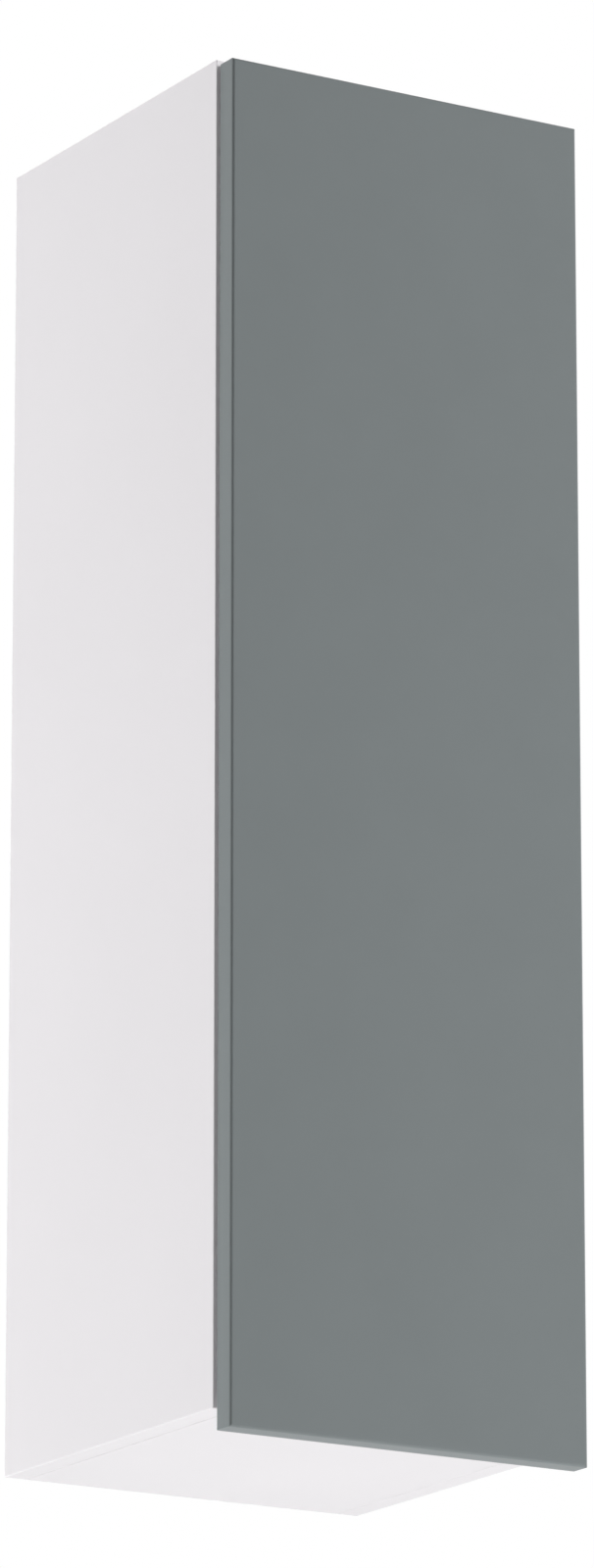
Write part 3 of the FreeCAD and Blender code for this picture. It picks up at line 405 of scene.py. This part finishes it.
def weigh_edges(mesh, joints):
    """Bevel weight 1 on every sharp edge, but 0 on edges that lie in a glued joint's plane."""
    points = np.empty(len(mesh.vertices) * 3)
    mesh.vertices.foreach_get("co", points)
    edges = np.empty(len(mesh.edges) * 2, dtype=np.int64)
    mesh.edges.foreach_get("vertices", edges)
    weight = np.empty(len(mesh.edges), dtype=bool)
    mesh.attributes["sharp_edge"].data.foreach_get("value", weight)
    ends = points.reshape(-1, 3)[edges].reshape(-1, 2, 3)
    for axis, place in joints:
        weight &= np.abs(ends[:, :, "XYZ".index(axis)] - place).max(axis=1) > WELD
    layer = mesh.attributes.new("bevel_weight_edge", "FLOAT", "EDGE")
    layer.data.foreach_set("value", weight.astype(np.float32))


def broken_edges(node, finish, width, joints=()):
    """The node's own shape with its sharp edges rounded over; width in mm, glued joints left flush."""
    mesh = merged_copy(node)
    weigh_edges(mesh, joints)
    piece = add_piece(node + "_piece", mesh, finish, node)
    bevel = piece.modifiers.new("broken_edge", "BEVEL")
    bevel.width = width * MM
    bevel.segments = BEVEL_STEPS
    bevel.limit_method = "WEIGHT"
    bevel.use_clamp_overlap = False
    bevel.harden_normals = True
    return piece


under_joint = ("Z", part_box("side_under_bands")[1][2])
for board, finish in board_finishes.items():
    front_joint = ("Y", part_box(board)[0][1])
    broken_edges(board, finish, BOARD_EDGE, [front_joint, under_joint])
for band in ("side_front_bands", "panel_front_bands", "shelf_front_bands"):
    broken_edges(band, band_finish, BAND_EDGE, [("Y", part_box(band)[1][1])])
broken_edges("side_under_bands", band_finish, BAND_EDGE, [under_joint])
nodes["back_panel"].data.materials[0] = back_finish
nodes["door_core"].data.materials[0] = door_back_finish
print("boards and bands with broken edges:", len(board_finishes) + 4)

# %% [markdown]
# Hinge and hanger parts are stampings, castings and mouldings. A press rolls an edge over, a mould leaves a
# small radius, and a casting is tumbled. They could be modelled anew with every radius. The same bevel on the
# CAD shape gives each trade its own edge, and keeps the fit of links, pins and slots.

# %% Hinges and hangers
HINGES, HANGERS = ("lower", "upper"), ("left", "right")
STAMPED_EDGE, LINK_EDGE, MOULDED_EDGE, CAST_EDGE, HOOK_EDGE, CAM_EDGE = 0.3, 0.2, 0.5, 0.4, 0.5, 0.3
FITTINGS = (
    (HINGES, nickel_finish, STAMPED_EDGE, ("hinge_{}_cup", "hinge_{}_arm", "hinge_{}_plate")),
    (HINGES, nickel_finish, LINK_EDGE, ("hinge_{}_outer_link", "hinge_{}_inner_link")),
    (HANGERS, hanger_finish, MOULDED_EDGE, ("hanger_{}_housing", "hanger_{}_cover")),
    (HANGERS, cast_finish, CAST_EDGE, ("hanger_{}_slider",)),
    (HANGERS, zinc_finish, HOOK_EDGE, ("hanger_{}_hook",)),
)
for places, finish, width, patterns in FITTINGS:
    made = [broken_edges(pattern.format(place), finish, width) for pattern in patterns for place in places]
    print(finish.name, len(made), "pieces with an edge of", width, "mm")
broken_edges("cam_housings", cast_finish, CAM_EDGE)

# %% [markdown]
# The door is a fibre board with a foil drawn over its front and down its four edges. A bevelled box would
# give the outside, but not the foil's own thickness at the rim. Here one profile says it all: out from the
# rim at the back, along the edge, round the front corner, and back inside at the foil's thickness.

# %% Foil section and door outline
FOIL = 0.4 * MM
FRONT_ROUND = 2.0 * MM
FLAT_RIM = 1.0 * MM
CORNER = 0.5 * MM
MITRE = 0.05 * MM
ROUND_STEPS, CORNER_STEPS = 8, 4


def quarter(steps):
    """Angles from 0 to a quarter turn."""
    return np.linspace(0.0, np.pi / 2, steps + 1)


def pairs(first, second):
    """Two arrays, or an array and a number, side by side as rows of two."""
    return np.stack(np.broadcast_arrays(first, second), axis=1)


def foil_profile(thick):
    """Rows of (inset from the outline, depth from the back) along the foil's section, inner side first.

    Both ends run on over a narrow flat rim, so that the wide front face shades truly flat.
    """
    turn = quarter(ROUND_STEPS)
    outer = pairs(FRONT_ROUND * (1 - np.cos(turn)), thick - FRONT_ROUND * (1 - np.sin(turn)))
    small = FRONT_ROUND - FOIL
    inner = pairs(FRONT_ROUND - small * np.cos(turn), thick - FRONT_ROUND + small * np.sin(turn))
    rim = FRONT_ROUND + FLAT_RIM
    back = [[FOIL, 0.0], [0.0, 0.0]]
    return np.vstack(([[rim, thick - FOIL]], inner[::-1], back, outer, [[rim, thick]]))


def outline_ring(low, high, inset):
    """Points round a rectangle with quarter-circle corners, set in from its edges, for every inset."""
    inset = inset[:, None]
    radius = np.maximum(CORNER - inset, MITRE)
    turn = np.concatenate([quarter(CORNER_STEPS) + k * np.pi / 2 for k in range(4)])
    side = np.repeat([0, 1, 2, 3], CORNER_STEPS + 1)
    back = inset + radius
    centre_x = np.where(np.isin(side, (0, 3)), high[0] - back, low[0] + back)
    centre_z = np.where(np.isin(side, (0, 1)), high[2] - back, low[2] + back)
    return centre_x + radius * np.cos(turn), centre_z + radius * np.sin(turn)


print("foil and front round in mm:", FOIL / MM, FRONT_ROUND / MM)

# %% [markdown]
# The profile is carried round the door's outline: the rows of a grid are the profile's points, its columns
# run round the door, and two flat faces close the front and the inside. The foil could also be a Solidify on
# one sheet, but the grid gives the rim and the round their exact places.

# %% Door foil
def grid_faces(rows, columns):
    """Quads of a grid whose columns close into a ring."""
    index = np.arange(rows * columns).reshape(rows, columns)
    after = np.roll(index, -1, axis=1)
    return np.stack((index[:-1], after[:-1], after[1:], index[1:]), axis=-1).reshape(-1, 4)


def new_mesh(name, points, blocks):
    """A mesh from points and blocks of faces, with outward normals, smooth up to its sharp edges."""
    mesh = bpy.data.meshes.new(name)
    mesh.from_pydata(points.tolist(), [], list(chain.from_iterable(block.tolist() for block in blocks)))
    work = bmesh.new()
    work.from_mesh(mesh)
    bmesh.ops.recalc_face_normals(work, faces=work.faces)
    work.to_mesh(mesh)
    work.free()
    mesh.shade_smooth()
    mesh.set_sharp_from_angle(angle=SHARP)
    return mesh


def door_skin():
    """The foil: profile rows times outline columns, (x, z) from the outline and y = back - depth."""
    low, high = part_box("door_foil")
    profile = foil_profile(high[1] - low[1])
    x, z = outline_ring(low, high, profile[:, 0])
    rows, columns = x.shape
    y = np.broadcast_to(high[1] - profile[:, 1:2], x.shape)
    points = np.stack((x, y, z), axis=-1).reshape(-1, 3)
    inner_face = np.arange(columns)[None, :]
    front_face = inner_face + (rows - 1) * columns
    return new_mesh("door_skin", points, [grid_faces(rows, columns), inner_face, front_face])


skin = add_piece("door_skin", door_skin(), foil_finish, "door_foil")
print("door skin:", len(skin.data.polygons), "faces")

# %% [markdown]
# Screws, pegs, caps, stops and dowels are all turned parts, several of a kind in one CAD node. Their places
# could be typed in again, but the frame knows them: each solid is a group of points that edges connect, and
# its box says where it sits. Labels that spread along the edges find the groups.

# %% Finding the solids
def solid_boxes(node):
    """Low and high corner of each separate solid of a node: points that share an edge share a label."""
    mesh = merged_copy(node)
    points = np.empty(len(mesh.vertices) * 3)
    mesh.vertices.foreach_get("co", points)
    points = points.reshape(-1, 3)
    edges = np.empty(len(mesh.edges) * 2, dtype=np.int64)
    mesh.edges.foreach_get("vertices", edges)
    edges = edges.reshape(-1, 2)
    bpy.data.meshes.remove(mesh)
    label = np.arange(len(points))
    settled = False
    while not settled:
        lowest = np.minimum(label[edges[:, 0]], label[edges[:, 1]])
        newer = label.copy()
        np.minimum.at(newer, edges[:, 0], lowest)
        np.minimum.at(newer, edges[:, 1], lowest)
        settled = np.array_equal(newer, label)
        label = newer
    return [(points[label == one].min(axis=0), points[label == one].max(axis=0)) for one in np.unique(label)]


print("shelf pegs found:", len(solid_boxes("shelf_pegs")))

# %% [markdown]
# On a lathe a bar turns while the tool follows a profile. The mesh is made the same way: rows of radius and
# height are spun about an axis, and each end closes in a pole. A Screw modifier could spin the profile too,
# but here the radius may also ripple with the angle, for threads and flutes, and a recess may be pressed in.

# %% Turning
SIDES = 48


def lathe(profile, around=SIDES, ripple=None, press=None):
    """Spin rows of (radius, height) about z: (r cos a, r sin a, h). Both ends close in a pole.

    ripple(angle, height) is added to the radius, press(x, y, height) is taken off the height.
    """
    radius, height = np.asarray(profile, dtype=float).T
    angle = np.linspace(0.0, 2 * np.pi, around, endpoint=False)
    ring = np.broadcast_to(radius[1:-1, None], (len(radius) - 2, around)).copy()
    level = np.broadcast_to(height[1:-1, None], ring.shape).copy()
    if ripple:
        ring += ripple(angle[None, :], level)
    x, y = ring * np.cos(angle), ring * np.sin(angle)
    top = height[-1]
    if press:
        level -= press(x, y, level)
        top -= press(0.0, 0.0, top)
    points = np.vstack((np.stack((x, y, level), axis=-1).reshape(-1, 3), [[0, 0, height[0]], [0, 0, top]]))
    rows = len(ring)
    index = np.arange(rows * around).reshape(rows, around)
    after = np.roll(index, -1, axis=1)
    bottom = np.stack((np.full(around, rows * around), after[0], index[0]), axis=1)
    cap = np.stack((np.full(around, rows * around + 1), index[-1], after[-1]), axis=1)
    return points, [grid_faces(rows, around), bottom, cap]


print("lathe ready, sides of a turned piece:", SIDES)

# %% [markdown]
# A turned shape is made upright at the origin, but in the cabinet it may lie along x, y or z, either way
# round. Its object could be moved and turned, but a finished piece stays at the origin with its place in
# its mesh, so the points are turned instead. Swapping coordinates in a circle leads from one axis to the
# next, and two changed signs turn the shape end for end. Neither mirrors it, so faces still point outwards.

# %% Placing turned pieces
TURNED_TO = {
    "+x": lambda p: p[:, [2, 0, 1]],
    "-x": lambda p: p[:, [2, 0, 1]] * (-1, -1, 1),
    "+y": lambda p: p[:, [1, 2, 0]],
    "-y": lambda p: p[:, [1, 2, 0]] * (-1, -1, 1),
    "+z": lambda p: p,
    "-z": lambda p: p * (1, -1, -1),
}


def start_of(low, high, axis):
    """Where a turned piece starts on its axis: the middle of its box, at the end it grows from."""
    start = (low + high) / 2
    k = "xyz".index(axis[1])
    start[k] = low[k] if axis[0] == "+" else high[k]
    return start


def turned_pieces(node, finish, axis_of, shape_of):
    """One piece for a CAD node: every solid's box gets a turned shape, grown along its own axis."""
    points, blocks, count = [], [], 0
    for low, high in solid_boxes(node):
        axis = axis_of(low, high)
        length = (high - low)["xyz".index(axis[1])]
        shape, faces = shape_of(length, low, high)
        points.append(TURNED_TO[axis](shape) + start_of(low, high, axis))
        blocks += [block + count for block in faces]
        count += len(shape)
    mesh = new_mesh(node + "_turned", np.vstack(points), blocks)
    print(node, len(mesh.polygons), "faces")
    return add_piece(mesh.name, mesh, finish, node)


def always(axis):
    """The same axis for every solid of a node."""
    return lambda low, high: axis


def to_the_middle(low, high):
    """From a side board towards the cabinet's middle."""
    return "-x" if low[0] + high[0] > 0 else "+x"


def to_the_side(low, high):
    """From the cabinet's middle towards the nearer side board."""
    return "+x" if low[0] + high[0] > 0 else "-x"


print("a turned piece may point along", ", ".join(TURNED_TO))

# %% [markdown]
# A real screw is rolled wire with an upset head and a punched cross. Its profile runs from the tip to the
# middle of the head. The thread is a ripple of the radius that climbs as it goes round. It only bites into
# the shank, so the screw never gets wider than its hole. The recess is a plus sign, deep where either arm is
# near. Cutting both with booleans would be slower, and would leave untidy faces.

# %% Thread and recess
def smooth(value):
    """0 below 0, 1 above 1, and an S between."""
    share = np.clip(value, 0.0, 1.0)
    return share * share * (3 - 2 * share)


def cross_recess(length, arm, width, depth):
    """A plus-shaped recess at the head's end: both arms have soft walls."""
    wall = width / 3

    def press(x, y, level):
        """Depth times how far a point lies inside an arm's width and length."""
        across = np.minimum(np.abs(x), np.abs(y))
        out = np.maximum(np.abs(x), np.abs(y))
        inside = smooth((width / 2 - across) / wall + 0.5) * smooth((arm - out) / (2 * wall))
        return depth * inside * (level > length - depth)
    return press


def thread(start, end, pitch, depth):
    """A ripple that climbs one pitch each turn and fades at both ends."""
    def ripple(angle, level):
        """Minus depth times a triangle wave of (level / pitch - turns)."""
        phase = (level / pitch - angle / (2 * np.pi)) % 1.0
        cut = 1.0 - np.abs(2.0 * phase - 1.0)
        fade = smooth((level - start) / pitch) * smooth((end - level) / pitch)
        return -depth * cut * fade
    return ripple


print("thread cut at mid pitch:", float(thread(0.0, 10.0, 1.0, 1.0)(0.0, 5.5)))

# %% [markdown]
# The cabinet's screws differ in length, shank and head. One maker of shapes serves them all, with the head's
# form given in shares of its radius and height, the way a screw table gives it. Each node's solids then say
# how long the screw is and which way it points.

# %% Screws
TIP_FLAT, THREAD_BITE = 0.25, 0.22
HEAD_FOOT, DOME_START = 0.97, 0.9
RIM_ROUND, RIM_START, RIM_RISE, DOME_DROP = 0.5, 0.45, 0.4, 0.15
RECESS_ARM, RECESS_WIDTH, RECESS_DEPTH, RECESS_LEAST = 0.55, 0.30, 0.55, 0.35
LEAST_ROWS, ROWS_PER_TURN, RIM_STEPS, DOME_ROWS, SCREW_SIDES = 12, 8, 5, 26, 64


def screw_head(length, radius, deep):
    """Rows from the head's foot, over its quarter-round rim and low parabolic dome, to the middle."""
    neck = length - deep
    turn = quarter(RIM_STEPS)
    rim_height = neck + deep * (RIM_START + RIM_RISE * np.sin(turn))
    rim = pairs(radius - deep * RIM_ROUND * (1 - np.cos(turn)), rim_height)
    dome = np.linspace(DOME_START, 0.0, DOME_ROWS)
    crown = pairs(radius * dome, length - deep * DOME_DROP * dome ** 2)
    return np.vstack(([[radius * HEAD_FOOT, neck]], rim, crown))


def screw_shape(shank, head, head_height, pitch, tip):
    """A function that makes a screw of a given length; radii and sizes in mm, the tip in shank radii."""
    radius, head_radius, deep, rise = shank * MM, head * MM, head_height * MM, pitch * MM
    recess_depth = RECESS_DEPTH * max(deep, RECESS_LEAST * head_radius)

    def shape(length, low, high):
        """Tip, threaded shank and head, spun about z."""
        neck = length - deep
        rows = max(LEAST_ROWS, int(neck / rise * ROWS_PER_TURN))
        climb = np.linspace(tip * radius, neck, rows)
        point = [[0.0, 0.0], [TIP_FLAT * radius, 0.0]]
        profile = np.vstack((point, pairs(radius, climb), screw_head(length, head_radius, deep)))
        bite = thread(climb[1], neck - rise / 2, rise, THREAD_BITE * radius)
        recess = cross_recess(length, RECESS_ARM * head_radius, RECESS_WIDTH * head_radius, recess_depth)
        return lathe(profile, SCREW_SIDES, bite, recess)
    return shape


cup_screw = screw_shape(shank=1.75, head=3.5, head_height=0.5, pitch=1.6, tip=1.2)
plate_screw = screw_shape(shank=2.9, head=4.5, head_height=2.0, pitch=2.0, tip=1.2)
arm_screw = screw_shape(shank=2.0, head=3.0, head_height=2.0, pitch=0.8, tip=0.3)
fixing_screw = screw_shape(shank=1.75, head=3.5, head_height=2.0, pitch=1.6, tip=1.2)
depth_screw = screw_shape(shank=2.0, head=3.5, head_height=3.0, pitch=2.0, tip=0.3)
height_screw = screw_shape(shank=3.0, head=4.5, head_height=3.0, pitch=2.0, tip=0.3)
turned_pieces("cup_screws", zinc_finish, always("+y"), cup_screw)
turned_pieces("hinge_plate_screws", zinc_finish, to_the_middle, plate_screw)
turned_pieces("hinge_arm_screws", zinc_finish, to_the_middle, arm_screw)
turned_pieces("hanger_fixing_screws", zinc_finish, to_the_middle, fixing_screw)
for side in HANGERS:
    turned_pieces(f"hanger_{side}_depth_screw", zinc_finish, always("-y"), depth_screw)
    turned_pieces(f"hanger_{side}_height_screw", zinc_finish, always("-z"), height_screw)

# %% [markdown]
# Shelf pegs are turned steel: an arm for the shelf, a thin collar that lies on the side board, and a shank in
# the hole. Cam bolts have a waist that the cam grips, and a thread. Plain cylinders would stand in for both,
# but a turned bar always has eased ends, so every end here is a small quarter round.

# %% Pegs and bolts
EASE, EASE_STEPS = 0.3 * MM, 4
PEG_SHANK, PEG_COLLAR, COLLAR_EASE, PEG_TIP = 2.5 * MM, 0.8 * MM, 0.2 * MM, 0.6 * MM
BOLT_RADIUS, BOLT_WAIST, BOLT_CORE = 3.0 * MM, 2.0 * MM, 2.5 * MM
BOLT_HEAD, BOLT_NECK, BOLT_THREAD = 3.0 * MM, 5.0 * MM, 11.0 * MM
BOLT_PITCH, BOLT_BITE, BOLT_ROWS = 1.4 * MM, 0.5 * MM, 60


def rounded_end(radius, at, direction, ease=EASE):
    """A quarter round from the flat end of a bar to its side, or back."""
    turn = quarter(EASE_STEPS)
    rows = pairs(radius - ease * (1 - np.sin(turn)), at + direction * ease * (1 - np.cos(turn)))
    return rows if direction > 0 else rows[::-1]


def closed(rows):
    """Add the two poles to a profile."""
    rows = np.asarray(rows)
    return np.vstack(([[0.0, rows[0, 1]]], rows, [[0.0, rows[-1, 1]]]))


def peg_shape(length, low, high):
    """Arm, collar and shank; the collar lies on the side board's face."""
    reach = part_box("side_panel_right")[0][0] - min(abs(low[0]), abs(high[0]))
    radius = (high - low)[1] / 2
    collar = np.vstack((rounded_end(radius, reach - PEG_COLLAR, 1, COLLAR_EASE), [[radius, reach]]))
    arm = np.vstack((rounded_end(PEG_SHANK, 0.0, 1), [[PEG_SHANK, reach - PEG_COLLAR]]))
    shank = np.vstack(([[PEG_SHANK, reach]], rounded_end(PEG_SHANK, length, -1, PEG_TIP)))
    return lathe(closed(np.vstack((arm, collar, shank))))


def bolt_shape(length, low, high):
    """Head, waist, shank and thread of a cam bolt, from the head outwards."""
    start, waist_end = length - BOLT_THREAD, BOLT_HEAD + BOLT_NECK
    head = np.vstack((rounded_end(BOLT_RADIUS, 0.0, 1), [[BOLT_RADIUS, BOLT_HEAD]]))
    waist = [[BOLT_WAIST, BOLT_HEAD], [BOLT_WAIST, waist_end]]
    shank = [[BOLT_RADIUS, waist_end], [BOLT_RADIUS, start]]
    core = pairs(BOLT_CORE, np.linspace(start, length - EASE, BOLT_ROWS))
    bite = thread(start, length, BOLT_PITCH, BOLT_BITE)
    return lathe(closed(np.vstack((head, waist, shank, core))), SIDES, bite)


turned_pieces("shelf_pegs", nickel_finish, to_the_side, peg_shape)
turned_pieces("cam_bolts", zinc_finish, to_the_side, bolt_shape)

# %% [markdown]
# White caps hide the cams, and two clear stops soften the door's last millimetre. A cap is a plug under a
# thin rim with a low crown, and a stop is a dome on a flat foot. Both could be flattened spheres. A profile
# gives the crisp line where the rim meets the board.

# %% Caps and stops
CAP_PLUG, CAP_THICK, CAP_RIM, CROWN_ROWS = 7.4 * MM, 0.6 * MM, 0.25 * MM, 12
STOP_FOOT, STOP_STEPS = 0.25, 10


def cap_shape(length, low, high):
    """Plug, rim and a low crown that rises as a quarter ellipse."""
    radius, base = (high - low)[0] / 2, length - CAP_THICK
    share = np.linspace(0.0, 1.0, CROWN_ROWS)
    rise = (CAP_THICK - CAP_RIM) * np.sqrt(1 - (1 - share) ** 2)
    crown = pairs(radius * (1 - share), base + CAP_RIM + rise)
    plug = np.vstack(([[0.0, 0.0]], rounded_end(CAP_PLUG, 0.0, 1), [[CAP_PLUG, base]]))
    return lathe(np.vstack((plug, [[radius, base]], crown[:-1], [[0.0, length]])))


def stop_shape(length, low, high):
    """A flat-footed dome: a quarter ellipse on a short straight foot."""
    radius, foot = (high - low)[0] / 2, STOP_FOOT * length
    turn = quarter(STOP_STEPS)[:-1]
    dome = pairs(radius * np.cos(turn), foot + (length - foot) * np.sin(turn))
    return lathe(np.vstack(([[0.0, 0.0], [radius, 0.0]], dome, [[0.0, length]])))


def from_panel(low, high):
    """Caps face into the cabinet: up from the bottom panel, down from the top panel."""
    return "+z" if low[2] < (cad_low[2] + cad_high[2]) / 2 else "-z"


turned_pieces("cam_caps", cap_finish, from_panel, cap_shape)
turned_pieces("door_bumpers", stop_finish, always("+y"), stop_shape)

# %% [markdown]
# Dowels are beech bars with pressed flutes, which let glue escape, and hinge pins are short steel bars. A
# dowel could be an array of grooves cut from a bar. A cosine that dents the radius does the same in one line.

# %% Dowels and pins
FLUTES, FLUTE_DEPTH, DOWEL_EASE, DOWEL_SIDES = 16, 0.3 * MM, 0.8 * MM, 96
PIN_SIDES = 32


def bar_profile(radius, length, ease=EASE):
    """A plain bar with eased ends."""
    return closed(np.vstack((rounded_end(radius, 0.0, 1, ease), rounded_end(radius, length, -1, ease))))


def fluted(angle, level):
    """Minus the flute's depth times (1 - cos) / 2 of the angle times the number of flutes."""
    return -FLUTE_DEPTH * (0.5 - 0.5 * np.cos(FLUTES * angle))


def dowel_shape(length, low, high):
    """A bar with straight flutes and eased ends."""
    return lathe(bar_profile((high - low)[1] / 2, length, DOWEL_EASE), DOWEL_SIDES, fluted)


def pin_shape(length, low, high):
    """A plain bar as thick as its box."""
    return lathe(bar_profile((high - low)[0] / 2, length), PIN_SIDES)


turned_pieces("wood_dowels", beech_finish, to_the_side, dowel_shape)
for pins in ("hinge_arm_pins", "hinge_cup_pins"):
    turned_pieces(pins, zinc_finish, always("+z"), pin_shape)

# %% [markdown]
# The picture is taken from low on the left with a long lens, so the cabinet's underside shows. The camera
# could be dragged until it looks right. Its place was found by matching the corners of the cabinet in the
# photograph instead, which also gives the lens: a focal length in pixels of that picture, which Blender wants
# in millimetres of sensor along the longer side.

# %% Camera
PHOTO_HEIGHT = 1600
FOCAL_PIXELS = 8618
CAMERA_PLACE = Vector((-3.076, -5.301, -1.155))
CAMERA_YAW = math.radians(30.91)
CAMERA_PITCH = math.radians(15.50)
SENSOR = 36.0
FARTHEST = 200.0


def place_camera():
    """A camera that looks along (sin yaw cos pitch, cos yaw cos pitch, sin pitch)."""
    data = bpy.data.cameras.new("camera")
    data.sensor_fit = "AUTO"
    data.sensor_width = SENSOR
    data.lens = FOCAL_PIXELS * SENSOR / PHOTO_HEIGHT
    data.clip_end = FARTHEST
    camera = bpy.data.objects.new("camera", data)
    bpy.context.scene.collection.objects.link(camera)
    level = math.cos(CAMERA_PITCH)
    look = Vector((math.sin(CAMERA_YAW) * level, math.cos(CAMERA_YAW) * level, math.sin(CAMERA_PITCH)))
    camera.location = CAMERA_PLACE
    camera.rotation_mode = "QUATERNION"
    camera.rotation_quaternion = look.to_track_quat("-Z", "Y")
    bpy.context.scene.camera = camera
    return camera


print("lens:", round(place_camera().data.lens, 1), "mm")

# %% [markdown]
# Studio light. Two large soft lamps cross over the cabinet: one from the right front lights the door, one
# from the left rear lights the side, so the corner between them and the gap beside the door stay darker. A
# lamp below lifts the underside, and two more light the top and the back. A front lamp reaches the inside
# when the door is open. It would make the closed door too bright, so light linking keeps it off the foil. One
# bright sky could replace them all, but then every side would look alike. The lamps are left out of
# reflections, where such large squares would burn white patches into the boards at a grazing view.

# %% Lamps
CENTRE = (Vector(cad_low) + Vector(cad_high)) / 2


def soft_lamp(name, direction, distance, size, level):
    """A square lamp that points at the cabinet; level is what a white card facing it would show."""
    data = bpy.data.lights.new(name, "AREA")
    data.size = size
    data.energy = level * math.pi ** 2 * distance ** 2
    lamp = bpy.data.objects.new(name, data)
    bpy.context.scene.collection.objects.link(lamp)
    away = Vector(direction).normalized()
    lamp.location = CENTRE + away * distance
    lamp.rotation_mode = "QUATERNION"
    lamp.rotation_quaternion = (-away).to_track_quat("-Z", "Y")
    lamp.visible_camera = False
    lamp.visible_glossy = False
    return lamp


def keep_off(lamp, piece):
    """Light linking: the lamp lights everything except this piece."""
    spared = bpy.data.collections.new(lamp.name + "_spares")
    spared.objects.link(piece)
    lamp.light_linking.receiver_collection = spared
    spared.collection_objects[0].light_linking.link_state = "EXCLUDE"


soft_lamp("door_lamp", (0.80, -0.60, 0.06), distance=6.0, size=3.0, level=1.03)
front_lamp = soft_lamp("front_lamp", (0.19, -0.90, 0.36), distance=5.0, size=1.2, level=0.42)
keep_off(front_lamp, skin)
soft_lamp("side_lamp", (-0.83, 0.51, -0.22), distance=6.0, size=2.6, level=1.12)
soft_lamp("under_lamp", (0.02, -0.08, -1.0), distance=1.9, size=1.2, level=0.385)
soft_lamp("top_lamp", (-0.05, 0.60, 0.80), distance=3.0, size=1.5, level=0.42)
soft_lamp("rear_lamp", (0.10, 0.97, 0.15), distance=5.0, size=2.4, level=0.20)
print("lamps:", len(bpy.data.lights))

# %% [markdown]
# The photograph has a plain white background. More light on a backdrop would make one, but it would spill
# onto the cabinet. The world is therefore white only to the eye, and in mirrors and clear plastic, while to
# everything else it is a dim fill from all around.

# %% White surround
AMBIENT = 0.15
PLAIN_WHITE = (1.0, 1.0, 1.0, 1.0)


def seen_directly(tree):
    """1 for rays from the camera and for mirror or glass rays, else 0."""
    path = add(tree, "ShaderNodeLightPath")
    first = add(tree, "ShaderNodeMath", {0: path.outputs["Is Camera Ray"], 1: path.outputs["Is Glossy Ray"]},
                operation="MAXIMUM")
    return add(tree, "ShaderNodeMath", {0: first.outputs[0], 1: path.outputs["Is Transmission Ray"]},
               operation="MAXIMUM").outputs[0]


def white_surround():
    """A world that is white to the eye and a dimmer fill to the object."""
    world = bpy.data.worlds.new("surround")
    bpy.context.scene.world = world
    world.use_nodes = True
    tree = world.node_tree
    background = tree.nodes["Background"]
    background.inputs["Color"].default_value = PLAIN_WHITE
    levels = {"Value": seen_directly(tree), "To Min": AMBIENT, "To Max": 1.0}
    strength = add(tree, "ShaderNodeMapRange", levels)
    tree.links.new(strength.outputs["Result"], background.inputs["Strength"])
    return world


print("world:", white_surround().name)

# %% [markdown]
# The floor lies as far below as a kitchen floor under a wall cabinet. To the eye it is nearly white, with a
# little of the real surface left near the cabinet, so that it keeps the shadow there. It fades to plain
# white far away, where a small studio floor would show an edge. Its back is clear, so that a view from far
# below isn't blocked.

# %% Floor
FLOOR_DROP = 1.45
FLOOR_HALF = 60.0
FLOOR_ROUGH = 0.8
FLOOR_TONE = (0.4, 0.4, 0.4, 1.0)
FADE_START, FADE_END, WHITE_NEAR = 0.8, 5.0, 0.86


def floor_finish():
    """Pale and rough to light; to the eye mostly white, more so with the distance from the cabinet."""
    material, tree, shader = finish_tree("pale_floor", FLOOR_ROUGH)
    shader.inputs["Base Color"].default_value = FLOOR_TONE
    white = add(tree, "ShaderNodeEmission", {"Color": PLAIN_WHITE, "Strength": 1.0})
    clear = add(tree, "ShaderNodeBsdfTransparent")
    away = add(tree, "ShaderNodeVectorMath", {0: on_piece(tree, (1.0, 1.0, 0.0))}, operation="LENGTH")
    fade = {"Value": away.outputs["Value"], "From Min": FADE_START, "From Max": FADE_END,
            "To Min": WHITE_NEAR, "To Max": 1.0}
    plain = add(tree, "ShaderNodeMapRange", fade, interpolation_type="SMOOTHSTEP")
    share = add(tree, "ShaderNodeMath", {0: seen_directly(tree), 1: plain.outputs["Result"]},
                operation="MULTIPLY")
    mix = add(tree, "ShaderNodeMixShader", {0: share.outputs[0], 1: shader.outputs[0], 2: white.outputs[0]})
    side = add(tree, "ShaderNodeNewGeometry")
    one_sided = add(tree, "ShaderNodeMixShader",
                    {0: side.outputs["Backfacing"], 1: mix.outputs[0], 2: clear.outputs[0]})
    tree.links.new(one_sided.outputs[0], tree.nodes["Material Output"].inputs["Surface"])
    return material


def pale_floor():
    """A wide square plane below the cabinet."""
    across = FLOOR_HALF * np.array([[-1, -1], [1, -1], [1, 1], [-1, 1]])
    corners = np.column_stack((across, np.full(4, cad_low[2] - FLOOR_DROP)))
    mesh = bpy.data.meshes.new("floor")
    mesh.from_pydata(corners.tolist(), [], [[0, 1, 2, 3]])
    mesh.materials.append(floor_finish())
    floor = bpy.data.objects.new("floor", mesh)
    bpy.context.scene.collection.objects.link(floor)
    return floor


print("floor at z:", round(pale_floor().data.vertices[0].co.z, 3), "m")
bpy.context.scene.view_settings.view_transform = "Standard"
